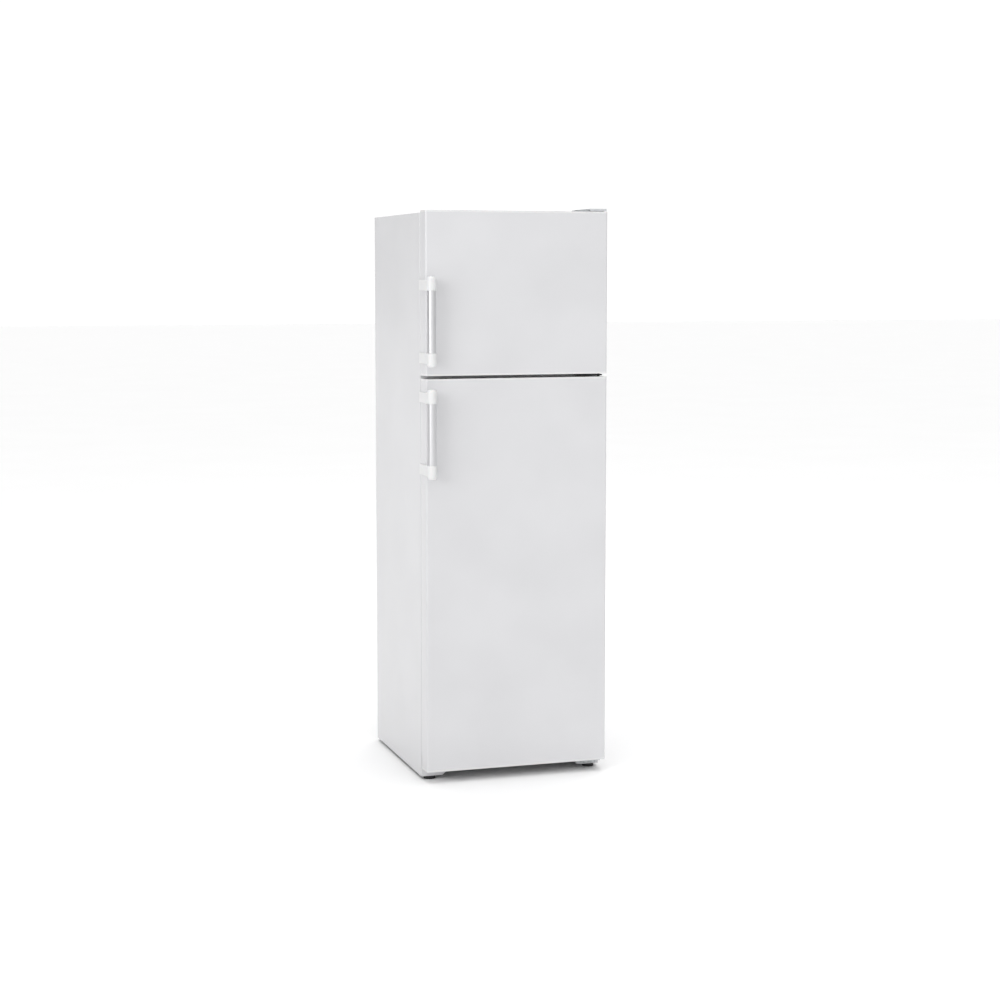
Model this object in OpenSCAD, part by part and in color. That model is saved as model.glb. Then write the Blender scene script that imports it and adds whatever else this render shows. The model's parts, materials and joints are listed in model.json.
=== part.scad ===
// Top freezer refrigerator: insulated cabinet, two hinged doors, push-off handles, interior fittings
// and a hermetic cooling circuit at the back. Millimetres, +Z up, front towards -Y.
// The origin is on the floor, in the middle of the footprint.

/* [Cabinet] */
// Width of the cabinet and of both doors
cabinet_w = 600; // [560:5:640]
// Depth from the doors' outer faces to the back of the side panels
depth = 640; // [610:5:700]
// Height of the cabinet's top
cabinet_h = 1798; // [1700:2:1880]
// Height of the side panels' lower edge above the floor
base_z = 10; // [9:1:14]
// Thickness of the insulated walls
wall = 50; // [45:1:55]
// Thickness of the bent steel sheets
sheet = 1; // [0.8:0.1:1.2]
// Thickness of the formed plastic liners
liner_t = 1.5; // [1.2:0.1:2]

/* [Compartments] */
// Height of the freezer door
freezer_door_h = 512.1; // [470:1:600]
// Thickness of the insulated divider between the compartments
divider_t = 80; // [70:1:90]
// Height of the fridge compartment's floor
floor_z = 95; // [88:1:105]
// Depth of the compressor space at the bottom of the back
machine_d = 191; // [185:1:200]
// Height of the compressor space's ceiling
machine_h = 236; // [232:1:250]
// Depth of the open recess that holds the condenser
recess = 27; // [25:1:32]

/* [Doors] */
// Thickness of a door without its gasket
door_t = 60; // [56:1:66]
// Space between a door and the cabinet, which the gasket fills
gasket_t = 7; // [6:0.5:8]
// Height of the lower edge of the fridge door
door_bottom = 38; // [38:1:44]
// Height of the gap between the two doors
door_gap = 10; // [9.5:0.5:12]
// Height of the freezer door's top edge above the cabinet's top
door_rise = 6.5; // [4:0.5:8]
// Radius of the doors' upright front edges
door_round = 6; // [3:0.5:9]
// Thickness of the plastic caps that close a door's ends
cap_t = 6; // [5:0.5:8]
// Distance from the cabinet's side to the hinge pins
pin_inset = 18; // [17:0.5:20]
// Radius of the hinge pins
pin_r = 4; // [3.5:0.5:4.5]

/* [Handles] */
// Length of a handle over its end pieces
handle_l = 280; // [240:5:340]
// How far a handle stands out from the door's face
handle_reach = 50; // [48:1:54]
// Diameter of a handle's end pieces
handle_d = 30; // [29:0.5:31]
// Height of one handle end piece
grip_h = 44; // [42:1:50]
// Diameter of the handle's tube
tube_d = 27; // [24:0.5:28]
// Diameter of the spigots that hold the tube in its end pieces
spigot_d = 14; // [12:0.5:15]
// Height of the freezer handle's lower end above the freezer door's lower edge
freezer_handle_rise = 28; // [20:1:60]
// Distance from the fridge door's upper edge down to its handle's upper end
fridge_handle_drop = 30; // [20:1:60]

/* [Interior] */
// Depth of the bins on the doors
bin_d = 88; // [80:1:95]
// Spacing of the fridge's glass shelves
shelf_pitch = 228; // [200:1:250]
// Thickness of the glass shelves
glass_t = 4; // [4:0.5:5]
// How far the crispers can be drawn with the fridge door shut
crisper_free = 45; // [30:1:48]

/* [Feet and rollers] */
// Diameter of the front feet
foot_d = 38; // [34:1:42]
// Diameter of the rear rollers
roller_d = 30; // [28:1:30]

/* [Hidden] */
$fn = 64;

// Main planes
half_w = cabinet_w / 2;
front = -(depth - handle_reach) / 2;
back = front + depth;
door_back = front + door_t;
cab_front = door_back + gasket_t;
rear_y = back - recess;
machine_y = back - machine_d;

// Compartments: inner faces of the liners
inner_x = half_w - wall;
inner_rear = rear_y - wall - 4;
split_z = cabinet_h + door_rise - freezer_door_h - door_gap / 2;
fridge_z0 = floor_z;
fridge_z1 = split_z - divider_t / 2;
freezer_z0 = split_z + divider_t / 2;
freezer_z1 = cabinet_h - wall - 10;
hump_y = machine_y - 50;
hump_z = machine_h + 44;
evaporator_t = 1.5;

// Doors
fridge_door_top = split_z - door_gap / 2;
freezer_door_bottom = split_z + door_gap / 2;
freezer_door_top = cabinet_h + door_rise;
pin_x = half_w - pin_inset;
pin_y = front + door_t / 2;
pin_fit = 0.05;
bush_depth = 16;

// Cabinet front frame
return_w = 28;
hem_w = 12;
flange_w = 15;
plinth_t = 3;
plinth_top = fridge_z0 - flange_w;
rail_z0 = 12;
rail_z1 = 40;
rail_w = 54;
rail_wall = 2;
arch_side = 70;
divider_rail_d = 25;
rail_sheet = 1.5;
hair = 0.2;

// Door liners and bins
ridge_out = inner_x - 12;
ridge_w = 16;
ridge_in = ridge_out - ridge_w;
ridge_d = 33;
ridge_end = 14;
plate_t = 1.5;
bin_wall = 2.5;
bin_half = ridge_in - 4;
bin_y0 = door_back + 1;
bin_y1 = bin_y0 + bin_d;
lug_w = 10;
lug_y = door_back + 15;
lug_rise = 22;
bottle_bin_z = 125;
bottle_bin_h = 110;
upper_bin_z = fridge_z1 - 287.4;
middle_bin_z = (bottle_bin_z + upper_bin_z) / 2 + 17.5;
small_bin_h = 75;
freezer_bin_z = freezer_z0 + 135;

// Shelves and crispers
shelf_half = inner_x - 3;
shelf_y0 = bin_y1 + crisper_free + 10;
shelf_y1 = inner_rear - 8;
crisper_cover_z = hump_z + 20;
shelf_count = floor((fridge_z1 - 100 - crisper_cover_z) / shelf_pitch);
freezer_shelf_z = freezer_z0 + 205;
trim_d = 12;
trim_h = 12;
crisper_z0 = floor_z + 1;
crisper_z1 = crisper_cover_z - 10;
crisper_y0 = bin_y1 + crisper_free + 5;
crisper_y1 = hump_y - 10;
crisper_gap = 2;
crisper_wall = 2.5;

// Handles
grip_r = handle_d / 2;
grip_x = -half_w - 5 + grip_r;
grip_y = front - handle_reach + grip_r;
tube_r = tube_d / 2;
tube_wall = 1.5;
spigot_r = spigot_d / 2;
spigot_l = 20;
mount_h = 32;
mount_offset = 5;
mount_y1 = door_back - 1;
freezer_handle_z = freezer_door_bottom + freezer_handle_rise + handle_l / 2;
fridge_handle_z = fridge_door_top - fridge_handle_drop - handle_l / 2;
post_h = 28;
slot_h = 20;
slide_fit = 0.4;

// Machine space
comp_x = 105;
comp_y = machine_y + 92;
comp_r = 72;
comp_z = 42;
comp_h = 148;
comp_foot_x = 95;
comp_foot_y = 62;
comp_foot_t = 4;
drier_x = -90;
drier_z = 70;
drier_h = 90;
drier_neck = 12;
tray_z = 22;
tray_t = 2;
foot_y = cab_front + 15;
foot_x = half_w - 30;
roller_x = foot_x;
roller_y = back - 64;
roller_w = 18;

// Condenser
coil_r = 2.4;
coil_pitch = 64;
coil_z = 380;
coil_runs = floor((cabinet_h - coil_z - 130) / coil_pitch) + 1;
coil_half = half_w - 75;
coil_y = rear_y + sheet + 13;
wire_r = 0.8;
wire_count = 24;

// A box between two opposite corners
module span(a, b) {
    translate(a) cube(b - a);
}

// The children and their mirror image across the middle plane
module both_sides() {
    children();
    mirror([1, 0, 0]) children();
}

// A profile drawn as (y, z) and extruded across the cabinet from -x to +x
module across(x) {
    translate([-x, 0, 0]) rotate([90, 0, 90]) linear_extrude(2 * x) children();
}

// A round bar between two points that differ along one axis or more
module bar(a, b, r) {
    v = b - a;
    length = norm(v);
    tilt = acos(v.z / length);
    turn = atan2(v.y, v.x);
    translate(a) rotate([0, tilt, turn]) cylinder(r = r, h = length);
}

// A pipe along a list of corners, with a ball at each inner corner
module pipe(points, r) {
    for (i = [0 : len(points) - 2]) bar(points[i], points[i + 1], r);
    for (i = [1 : len(points) - 2]) translate(points[i]) sphere(r = r);
}

// ---- Cabinet ----

// A side sheet with its rear hem, and its front return that stops above the skirt
module side_panel() {
    translate([0, 0, base_z]) linear_extrude(cabinet_h - base_z) {
        translate([half_w - sheet, cab_front]) square([sheet, back - cab_front]);
        translate([half_w - hem_w, back - sheet]) square([hem_w, sheet]);
    }
    span([half_w - return_w, cab_front, plinth_top], [half_w, cab_front + sheet, cabinet_h]);
}

module side_panels() {
    color("white") both_sides() side_panel();
}

module top_panel() {
    x = half_w - sheet;
    z = cabinet_h - sheet;
    color("white") {
        span([-x, cab_front + sheet, z], [x, back - sheet, cabinet_h]);
        span([-half_w + return_w, cab_front, freezer_z1 + flange_w],
             [half_w - return_w, cab_front + sheet, cabinet_h]);
    }
}

// The back sheet, stepped forward over the compressor space
module rear_panel() {
    color("gainsboro") across(half_w - sheet) {
        translate([rear_y, machine_h - sheet]) square([sheet, cabinet_h - machine_h]);
        translate([machine_y, machine_h - sheet]) square([rear_y - machine_y, sheet]);
        translate([machine_y - sheet, rail_z1]) square([sheet, machine_h - rail_z1]);
    }
}

// Front skirt with the air opening between its two corner blocks
module base_plinth() {
    foot_in = half_w - arch_side;
    rise = rail_z1 - base_z;
    color("white") translate([0, cab_front + plinth_t, 0]) rotate([90, 0, 0]) linear_extrude(plinth_t)
        polygon([
            [-half_w + sheet, base_z], [-foot_in, base_z], [-foot_in + rise, base_z + rise],
            [foot_in - rise, base_z + rise], [foot_in, base_z], [half_w - sheet, base_z],
            [half_w - sheet, plinth_top], [-half_w + sheet, plinth_top]
        ]);
}

module rail() {
    x0 = half_w - sheet - rail_w;
    x1 = half_w - sheet;
    difference() {
        span([x0, cab_front + plinth_t, rail_z0], [x1, back - sheet, rail_z1]);
        span([x0 + rail_wall, cab_front + plinth_t + rail_wall, rail_z0 - 1],
             [x1 - rail_wall, back - sheet - rail_wall, rail_z1 - rail_wall]);
        translate([foot_x, foot_y, rail_z0]) cylinder(r = 5 + pin_fit, h = rail_z1);
    }
    difference() {
        translate([foot_x, foot_y, rail_z0 + 8]) cylinder(r = 9, h = rail_z1 - rail_z0 - 8);
        translate([foot_x, foot_y, rail_z0]) cylinder(r = 5 + pin_fit, h = rail_z1);
    }
    translate([x0, roller_y, roller_d / 2]) rotate([0, 90, 0]) cylinder(r = 3, h = x1 - x0);
}

// Two channel rails under the cabinet, with the floor pan between them
module base_frame() {
    x = half_w - sheet - rail_w;
    color("silver") {
        both_sides() rail();
        span([-x, cab_front + plinth_t, rail_z1 - rail_wall], [x, machine_y, rail_z1]);
    }
}

// Channel between the compartments: a web between the side returns, with a lip above and below
module divider_rail() {
    z0 = fridge_z1 + flange_w;
    z1 = freezer_z0 - flange_w;
    x = half_w - return_w;
    lip_x = inner_x + liner_t - hair;
    y1 = cab_front + divider_rail_d;
    color("white") difference() {
        union() {
            span([-x, cab_front, z0], [x, cab_front + rail_sheet, z1]);
            span([-lip_x, cab_front, z0], [lip_x, y1, z0 + rail_sheet]);
            span([-lip_x, cab_front, z1 - rail_sheet], [lip_x, y1, z1]);
        }
        middle_hinge_tongue(0.1);
    }
}

// Foam between the outer sheets and the liners, as slabs a hair apart
module cabinet_insulation() {
    x0 = inner_x + liner_t;
    x1 = half_w - sheet;
    xi = x0 - hair;
    y0 = cab_front + liner_t + 1;
    yr = inner_rear + liner_t + evaporator_t;
    top = cabinet_h - sheet;
    color("khaki") {
        both_sides() {
            span([x0, y0 + sheet, rail_z1], [x1, machine_y - sheet, top]);
            span([x0, machine_y - sheet + hair, machine_h], [x1, rear_y, top]);
        }
        span([-xi, yr, hump_z + hair], [xi, rear_y, top]);
        span([-xi, y0, freezer_z1 + liner_t], [xi, yr - hair, top]);
        span([-xi, cab_front + divider_rail_d, fridge_z1 + liner_t],
             [xi, yr - hair, freezer_z0 - liner_t]);
        span([-xi, y0 + plinth_t, rail_z1], [xi, hump_y + liner_t - hair, fridge_z0 - liner_t]);
        span([-xi, hump_y + liner_t, rail_z1], [xi, machine_y - sheet, hump_z - liner_t]);
        span([-xi, machine_y - sheet + hair, machine_h], [xi, rear_y, hump_z - liner_t]);
    }
}

// The fridge compartment seen from the side, grown by t
module fridge_side(t) {
    polygon([
        [cab_front, fridge_z0 - t], [hump_y + t, fridge_z0 - t], [hump_y + t, hump_z - t],
        [inner_rear + t, hump_z - t], [inner_rear + t, fridge_z1 + t], [cab_front, fridge_z1 + t]
    ]);
}

// Front flange of a liner around an opening from z0 to z1
module liner_flange(z0, z1) {
    x = half_w - return_w;
    difference() {
        span([-x, cab_front, z0 - flange_w], [x, cab_front + liner_t, z1 + flange_w]);
        span([-inner_x, cab_front - 1, z0], [inner_x, cab_front + liner_t + 1, z1]);
    }
}

// Pair of ledges on the side walls under a shelf at height z
module ledges(z, depth_from) {
    both_sides() span([shelf_half - 8, depth_from, z - 6], [inner_x, shelf_y1, z]);
}

module fridge_liner() {
    color("white") {
        difference() {
            union() {
                across(inner_x + liner_t) fridge_side(liner_t);
                liner_flange(fridge_z0, fridge_z1);
            }
            difference() {
                across(inner_x) fridge_side(0);
                for (i = [1 : shelf_count]) ledges(crisper_cover_z + i * shelf_pitch - 3, shelf_y0);
                ledges(crisper_cover_z - 3, shelf_y0 + trim_d);
            }
            span([-inner_x, cab_front - 1, fridge_z0], [inner_x, cab_front + 2, fridge_z1]);
        }
    }
}

module freezer_liner() {
    color("white") difference() {
        union() {
            span([-inner_x - liner_t, cab_front, freezer_z0 - liner_t],
                 [inner_x + liner_t, inner_rear + liner_t, freezer_z1 + liner_t]);
            liner_flange(freezer_z0, freezer_z1);
        }
        difference() {
            span([-inner_x, cab_front - 1, freezer_z0], [inner_x, inner_rear, freezer_z1]);
            ledges(freezer_shelf_z - 3, shelf_y0);
        }
    }
}

// ---- Cooling circuit ----

// Roll-bonded plates foamed in behind the liners
module evaporators() {
    y = inner_rear + liner_t;
    fridge_plate = 170;
    freezer_plate = 190;
    color("lightgray") {
        span([-fridge_plate, y, fridge_z1 - 420], [fridge_plate, y + evaporator_t, fridge_z1 - 60]);
        span([-freezer_plate, y, freezer_z0 + 40], [freezer_plate, y + evaporator_t, freezer_z1 - 40]);
    }
}

module compressor() {
    color("black") {
        translate([comp_x, comp_y, comp_z]) rotate_extrude() {
            square([comp_r, comp_h * 0.45]);
            translate([0, comp_h * 0.45 + 4]) square([comp_r - 4, comp_h * 0.25]);
            translate([0, comp_h * 0.45]) square([comp_r + 4, 4]);
            translate([0, comp_h * 0.7]) square([comp_r - 26, comp_h * 0.3]);
            intersection() {
                translate([comp_r - 30, comp_h * 0.7]) circle(r = 26);
                translate([0, comp_h * 0.7]) square([comp_r, 30]);
            }
        }
        span([comp_x - comp_foot_x, comp_y - comp_foot_y, comp_z - comp_foot_t],
             [comp_x + comp_foot_x, comp_y + comp_foot_y, comp_z]);
    }
}

module relay_box() {
    color("dimgray") span([comp_x - comp_r - 36, comp_y - 26, comp_z + 28],
                          [comp_x - comp_r - 4.2, comp_y + 26, comp_z + 88]);
}

module compressor_mounts() {
    color("black") for (x = [-1, 1], y = [-1, 1])
        translate([comp_x + (comp_foot_x - 13) * x, comp_y + (comp_foot_y - 12) * y, tray_z + tray_t])
            cylinder(r = 10, h = comp_z - comp_foot_t - tray_z - tray_t);
}

module compressor_tray() {
    x = half_w - sheet - rail_w;
    y0 = machine_y + 2;
    y1 = back - 4;
    lip_z = tray_z + 14;
    color("silver") {
        span([-x, y0, tray_z], [x, y1, tray_z + tray_t]);
        span([-x, y0, tray_z], [x, y0 + tray_t, lip_z]);
        span([-x, y1 - tray_t, tray_z], [x, y1, lip_z]);
    }
}

module filter_drier() {
    color("peru") translate([drier_x, coil_y, drier_z]) {
        cylinder(r = 9, h = drier_h);
        translate([0, 0, -drier_neck]) cylinder(r = 3, h = drier_h + 2 * drier_neck);
    }
}

module refrigerant_pipes() {
    stub_x = comp_x + comp_r + 4.2;
    side_x = stub_x + 22;
    out_z = comp_z + 40;
    under_coil = coil_z - 30;
    drier_top = drier_z + drier_h + drier_neck;
    bend_z = machine_h - 31;
    entry_x = drier_x - 40;
    entry_z = machine_h + 4;
    color("peru") {
        pipe([[stub_x, comp_y, out_z], [side_x, comp_y, out_z], [side_x, coil_y, out_z],
              [side_x, coil_y, under_coil], [coil_half, coil_y, under_coil],
              [coil_half, coil_y, coil_z - coil_r]], coil_r);
        pipe([[drier_x, coil_y, drier_top], [drier_x, coil_y, bend_z], [entry_x, coil_y, bend_z],
              [entry_x, coil_y, entry_z], [entry_x, rear_y + sheet, entry_z]], coil_r - 0.6);
    }
}

// One straight run and its bend up to the next run
module coil_run(i) {
    z = coil_z + i * coil_pitch;
    side = i % 2 == 0 ? -1 : 1;
    bar([-coil_half, coil_y, z], [coil_half, coil_y, z], coil_r);
    if (i < coil_runs - 1)
        translate([side * coil_half, coil_y, z + coil_pitch / 2])
            rotate([90, 0, 0])
                rotate([0, 0, side > 0 ? -90 : 90])
                    rotate_extrude(angle = 180)
                        translate([coil_pitch / 2, 0]) circle(r = coil_r);
}

module condenser_coil() {
    color("black") for (i = [0 : coil_runs - 1]) coil_run(i);
}

module condenser_wires() {
    z1 = coil_z + (coil_runs - 1) * coil_pitch;
    color("black") for (i = [0 : wire_count - 1]) {
        x = -coil_half + 12 + i * (2 * coil_half - 24) / (wire_count - 1);
        translate([x, coil_y + coil_r + wire_r, coil_z - 12]) cylinder(r = wire_r, h = z1 - coil_z + 24);
    }
    // Side bars that hang the grid on the back sheet
    color("black") both_sides() {
        x = coil_half - 4;
        for (z = [coil_z + 20, z1 - 20])
            span([x, rear_y + sheet, z], [x + 3, coil_y + coil_r, z + 14]);
    }
}

// Water pan above the compressor
module drain_pan() {
    z = comp_z + comp_h;
    color("whitesmoke") difference() {
        span([comp_x - 88, comp_y - 70, z], [comp_x + 88, comp_y + 70, z + 32]);
        span([comp_x - 85, comp_y - 67, z + 3], [comp_x + 85, comp_y + 67, z + 33]);
    }
}

// Cord gland on the tray, left open because no cord is fitted
module cord_inlet() {
    x = -200;
    y = back - 26;
    z = tray_z + tray_t;
    color("black") difference() {
        span([x - 18, y - 10, z], [x + 18, y + 18, z + 34]);
        translate([x, y - 11, z + 19]) rotate([-90, 0, 0]) cylinder(r = 4.2, h = 40);
    }
}

// ---- Feet and rollers ----

module foot() {
    translate([foot_x, foot_y, 0]) {
        cylinder(r = foot_d / 2, h = 8);
        translate([0, 0, 8]) cylinder(r = 8, h = 8);
        cylinder(r = 5, h = rail_z1 - 2);
    }
}

module front_right_foot() {
    color("black") foot();
}

module front_left_foot() {
    color("black") mirror([1, 0, 0]) foot();
}

module roller() {
    translate([roller_x - roller_w / 2, roller_y, roller_d / 2]) rotate([0, 90, 0]) difference() {
        cylinder(r = roller_d / 2, h = roller_w);
        translate([0, 0, -1]) cylinder(r = 3 + pin_fit, h = roller_w + 2);
    }
}

module rear_right_roller() {
    color("black") roller();
}

module rear_left_roller() {
    color("black") mirror([1, 0, 0]) roller();
}

// ---- Hinges ----

arm_t = 3;
cover_gap = 1.2;
top_arm_z = freezer_door_top + cover_gap;
arm_x0 = half_w - 95;
arm_x1 = half_w - 8;
arm_y0 = pin_y - 12;

module top_hinge() {
    riser_y = cab_front + 2;
    color("silver") {
        span([arm_x0, riser_y, cabinet_h], [arm_x1, cab_front + 78, cabinet_h + arm_t]);
        span([arm_x0, riser_y, cabinet_h], [arm_x1, riser_y + 4, top_arm_z + arm_t]);
        span([arm_x0, arm_y0, top_arm_z], [arm_x1, riser_y + 4, top_arm_z + arm_t]);
        translate([pin_x, pin_y, freezer_door_top - bush_depth + 2])
            cylinder(r = pin_r, h = bush_depth + cover_gap);
    }
}

// Cap over the top hinge's arm and screws
module hinge_cover() {
    x0 = half_w - 56;
    x1 = half_w - 2;
    y0 = front + 4;
    y1 = cab_front + 88;
    z1 = top_arm_z + arm_t + 5;
    lip = cab_front + 1;
    color("lightgray") difference() {
        union() {
            span([x0, y0, top_arm_z], [x1, y1, z1]);
            span([x0, lip, cabinet_h], [x1, y1, z1]);
        }
        span([x0 - 1, arm_y0 - 1, top_arm_z - 1], [arm_x1 + 1, lip + 6, top_arm_z + arm_t + 0.2]);
        span([x0 - 1, lip, cabinet_h - 1], [arm_x1 + 1, y1 - 2, top_arm_z + arm_t + 0.2]);
    }
}

middle_arm_t = 4;

// Arm of the middle hinge, grown by t where it passes through the divider rail
middle_arm_x0 = inner_x - 38;

// The part of the middle hinge that goes back through the divider rail, grown by t
module middle_hinge_tongue(t) {
    z = split_z - middle_arm_t / 2;
    span([middle_arm_x0 - t, pin_y - 9, z - t], [inner_x + t, cab_front + 22, z + middle_arm_t + t]);
}

module middle_hinge() {
    z = split_z - middle_arm_t / 2;
    reach = door_gap / 2 + bush_depth - 2;
    color("dimgray") {
        middle_hinge_tongue(0);
        span([middle_arm_x0, pin_y - 9, z], [half_w - 9, pin_y + 9, z + middle_arm_t]);
        translate([pin_x, pin_y, split_z - reach]) cylinder(r = pin_r, h = 2 * reach);
    }
}

bottom_arm_z = door_bottom - 7;

module bottom_hinge() {
    x0 = half_w - 78;
    x1 = half_w - 9;
    color("silver") {
        span([x0, cab_front - arm_t, base_z + 3], [x1, cab_front, bottom_arm_z + 4]);
        span([x0 + 20, pin_y - 10, bottom_arm_z], [x1, cab_front, bottom_arm_z + 4]);
        translate([pin_x, pin_y, bottom_arm_z]) cylinder(r = pin_r, h = 7 + bush_depth - 2);
    }
}

// Countersunk screws of the top and bottom hinges
module hinge_screws() {
    color("silver") {
        for (i = [0 : 2])
            translate([arm_x0 + 18 + i * 26, cab_front + 50, cabinet_h + arm_t]) cylinder(r = 5, h = 2.4);
        for (i = [0 : 2])
            translate([half_w - 68 + i * 22, cab_front - arm_t, base_z + 11])
                rotate([90, 0, 0]) cylinder(r = 4, h = 1.8);
    }
}

// ---- Doors ----

// Plan of a door, with rounded front corners, shrunk by t at the front and sides
module door_plan(t, y1) {
    w = cabinet_w - 2 * t;
    r = door_round - t;
    translate([-w / 2, front + door_round]) square([w, y1 - front - door_round]);
    translate([-w / 2 + r, front + t]) square([w - 2 * r, door_round]);
    for (s = [-1, 1]) translate([s * (w / 2 - r), front + door_round]) circle(r = r);
}

// Outer steel sheet of a door between heights z0 and z1
module door_panel(z0, z1) {
    translate([0, 0, z0]) linear_extrude(z1 - z0) difference() {
        door_plan(0, door_back - plate_t);
        door_plan(sheet, door_back);
    }
}

module door_block(z0, z1) {
    translate([0, 0, z0]) linear_extrude(z1 - z0) door_plan(sheet, door_back - plate_t);
}

// A hole for a pin's bush, with room for the pin's end
module pin_bore(z0, z1, r) {
    translate([pin_x, pin_y, z0]) cylinder(r = r, h = z1 - z0);
}

bush_r = 8;

// Foam block with pockets for the moulded bushes at both ends
module door_insulation(z0, z1) {
    difference() {
        door_block(z0 + cap_t, z1 - cap_t);
        pin_bore(z0, z0 + bush_depth + 1, bush_r + 0.1);
        pin_bore(z1 - bush_depth - 1, z1 + 1, bush_r + 0.1);
    }
}

// End cap at height z0 with its bush, which points up from the cap
module door_cap(z0) {
    difference() {
        union() {
            translate([0, 0, z0]) linear_extrude(cap_t) door_plan(0, door_back);
            pin_bore(z0, z0 + bush_depth, bush_r);
        }
        pin_bore(z0 - 1, z0 + bush_depth + 1, pin_r + pin_fit);
    }
}

// Lower cap and the upper cap, which is the same shape turned over
module door_caps(z0, z1) {
    door_cap(z0);
    translate([0, 0, z1]) mirror([0, 0, 1]) door_cap(0);
}

// Lugs on the ridges that carry a bin whose lower edge is at z
module bin_lugs(z) {
    both_sides() span([ridge_in - 3.8, lug_y - lug_w / 2, z + lug_rise],
                      [ridge_in, lug_y + lug_w / 2, z + lug_rise + 9]);
}

// Inner door liner: back plate, with a frame of ridges that enters the opening from z0 to z1
module door_liner(door_z0, door_z1, z0, z1) {
    x = half_w;
    span([-x, door_back - plate_t, door_z0 + cap_t], [x, door_back, door_z1 - cap_t]);
    both_sides() span([ridge_in, door_back - plate_t, z0 + ridge_end],
                      [ridge_out, door_back + ridge_d, z1 - ridge_end]);
    span([-ridge_in, door_back - plate_t, z0 + ridge_end], [ridge_in, door_back + 12, z0 + ridge_end + 12]);
    span([-ridge_in, door_back - plate_t, z1 - ridge_end - 12], [ridge_in, door_back + 12, z1 - ridge_end]);
}

// Ring of magnetic gasket around an opening from z0 to z1
module gasket(z0, z1) {
    gap = 0.3;
    grow_in = 4;
    grow_out = flange_w;
    difference() {
        span([-inner_x - 22, door_back, z0 - grow_out], [inner_x + 22, cab_front - gap, z1 + grow_out]);
        span([-inner_x - grow_in, door_back - 1, z0 - grow_in],
             [inner_x + grow_in, cab_front + 1, z1 + grow_in]);
    }
}

// Bin with an open top, and hooks that hang over the lugs
module door_bin(z, h) {
    difference() {
        span([-bin_half, bin_y0, z], [bin_half, bin_y1, z + h]);
        span([-bin_half + bin_wall, bin_y0 + bin_wall, z + bin_wall],
             [bin_half - bin_wall, bin_y1 - bin_wall, z + h + 1]);
    }
    both_sides() difference() {
        span([bin_half - 0.5, lug_y - lug_w / 2 - 5, z + lug_rise - 6],
             [ridge_in - 0.3, lug_y + lug_w / 2 + 5, z + lug_rise + 15]);
        span([bin_half, lug_y - lug_w / 2 - 0.4, z + lug_rise - 7],
             [ridge_in + 1, lug_y + lug_w / 2 + 0.4, z + lug_rise + 9.1]);
    }
}

module freezer_door_panel() {
    color("white") door_panel(freezer_door_bottom + cap_t, freezer_door_top - cap_t);
}

module freezer_door_caps() {
    color("white") door_caps(freezer_door_bottom, freezer_door_top);
}

module freezer_door_insulation() {
    color("khaki") door_insulation(freezer_door_bottom, freezer_door_top);
}

module freezer_door_liner() {
    color("white") {
        door_liner(freezer_door_bottom, freezer_door_top, freezer_z0, freezer_z1);
        bin_lugs(freezer_bin_z);
    }
}

module freezer_door_gasket() {
    color("lightgray") gasket(freezer_z0, freezer_z1);
}

module freezer_door_bin() {
    color("lightcyan") door_bin(freezer_bin_z, small_bin_h);
}

module fridge_door_panel() {
    color("white") door_panel(door_bottom + cap_t, fridge_door_top - cap_t);
}

module fridge_door_caps() {
    color("white") door_caps(door_bottom, fridge_door_top);
}

module fridge_door_insulation() {
    color("khaki") door_insulation(door_bottom, fridge_door_top);
}

module fridge_door_liner() {
    color("white") {
        door_liner(door_bottom, fridge_door_top, fridge_z0, fridge_z1);
        for (z = [bottle_bin_z, middle_bin_z, upper_bin_z]) bin_lugs(z);
    }
}

module fridge_door_gasket() {
    color("lightgray") gasket(fridge_z0, fridge_z1);
}

module bottle_bin() {
    color("lightcyan") door_bin(bottle_bin_z, bottle_bin_h);
}

module middle_door_bin() {
    color("lightcyan") door_bin(middle_bin_z, small_bin_h);
}

module upper_door_bin() {
    color("lightcyan") door_bin(upper_bin_z, small_bin_h);
}

// ---- Handles ----

// Places a part made for a handle's upper end at both ends of a handle centred at height z
module handle_ends_at(z) {
    shift = handle_l / 2 - grip_h / 2;
    translate([0, 0, z + shift]) children();
    translate([0, 0, z - shift]) mirror([0, 0, 1]) children();
}

// End piece: upright round front with a domed end, hollow behind, with a bore for a spigot
module grip_end() {
    h = grip_h / 2;
    x0 = grip_x - grip_r;
    rear = front - 0.4;
    left_rear = front - 5;
    dome = 10;
    cavity = post_h / 2 + slide_fit;
    difference() {
        union() {
            translate([grip_x, grip_y, -h]) cylinder(r = grip_r, h = grip_h - dome);
            translate([grip_x, grip_y, h - dome]) rotate_extrude() {
                square([grip_r - dome, dome]);
                translate([grip_r - dome, 0]) intersection() {
                    circle(r = dome);
                    square(dome);
                }
            }
            span([x0, grip_y, -h], [x0 + 6, left_rear - 0.3, h - dome]);
            span([x0 + 5, grip_y, -h], [grip_x + grip_r, rear, h - dome]);
        }
        span([x0 + 2, front - 26, -mount_offset - cavity],
             [grip_x + grip_r - 2.5, front + 1, -mount_offset + cavity]);
        translate([grip_x, grip_y, -h - 1]) cylinder(r = spigot_r + 0.1, h = spigot_l + 1);
    }
}

// Fixed bracket: side plate with a plunger channel, and two cheeks that guide the end piece
module handle_mount() {
    x0 = -half_w - 5;
    x1 = -half_w - 0.1;
    h = mount_h / 2;
    p = post_h / 2;
    s = slot_h / 2;
    translate([0, 0, -mount_offset]) {
        difference() {
            span([x0, front - 5, -h], [x1, mount_y1, h]);
            span([x0 + 2, front - 6, -s - slide_fit], [x1 + 1, mount_y1 + 1, s + slide_fit]);
        }
        for (m = [0, 1]) mirror([0, 0, m])
            span([x0 + 2 + slide_fit, front - 20, s + slide_fit], [grip_x + grip_r - 3, front - 0.2, p]);
    }
}

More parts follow.
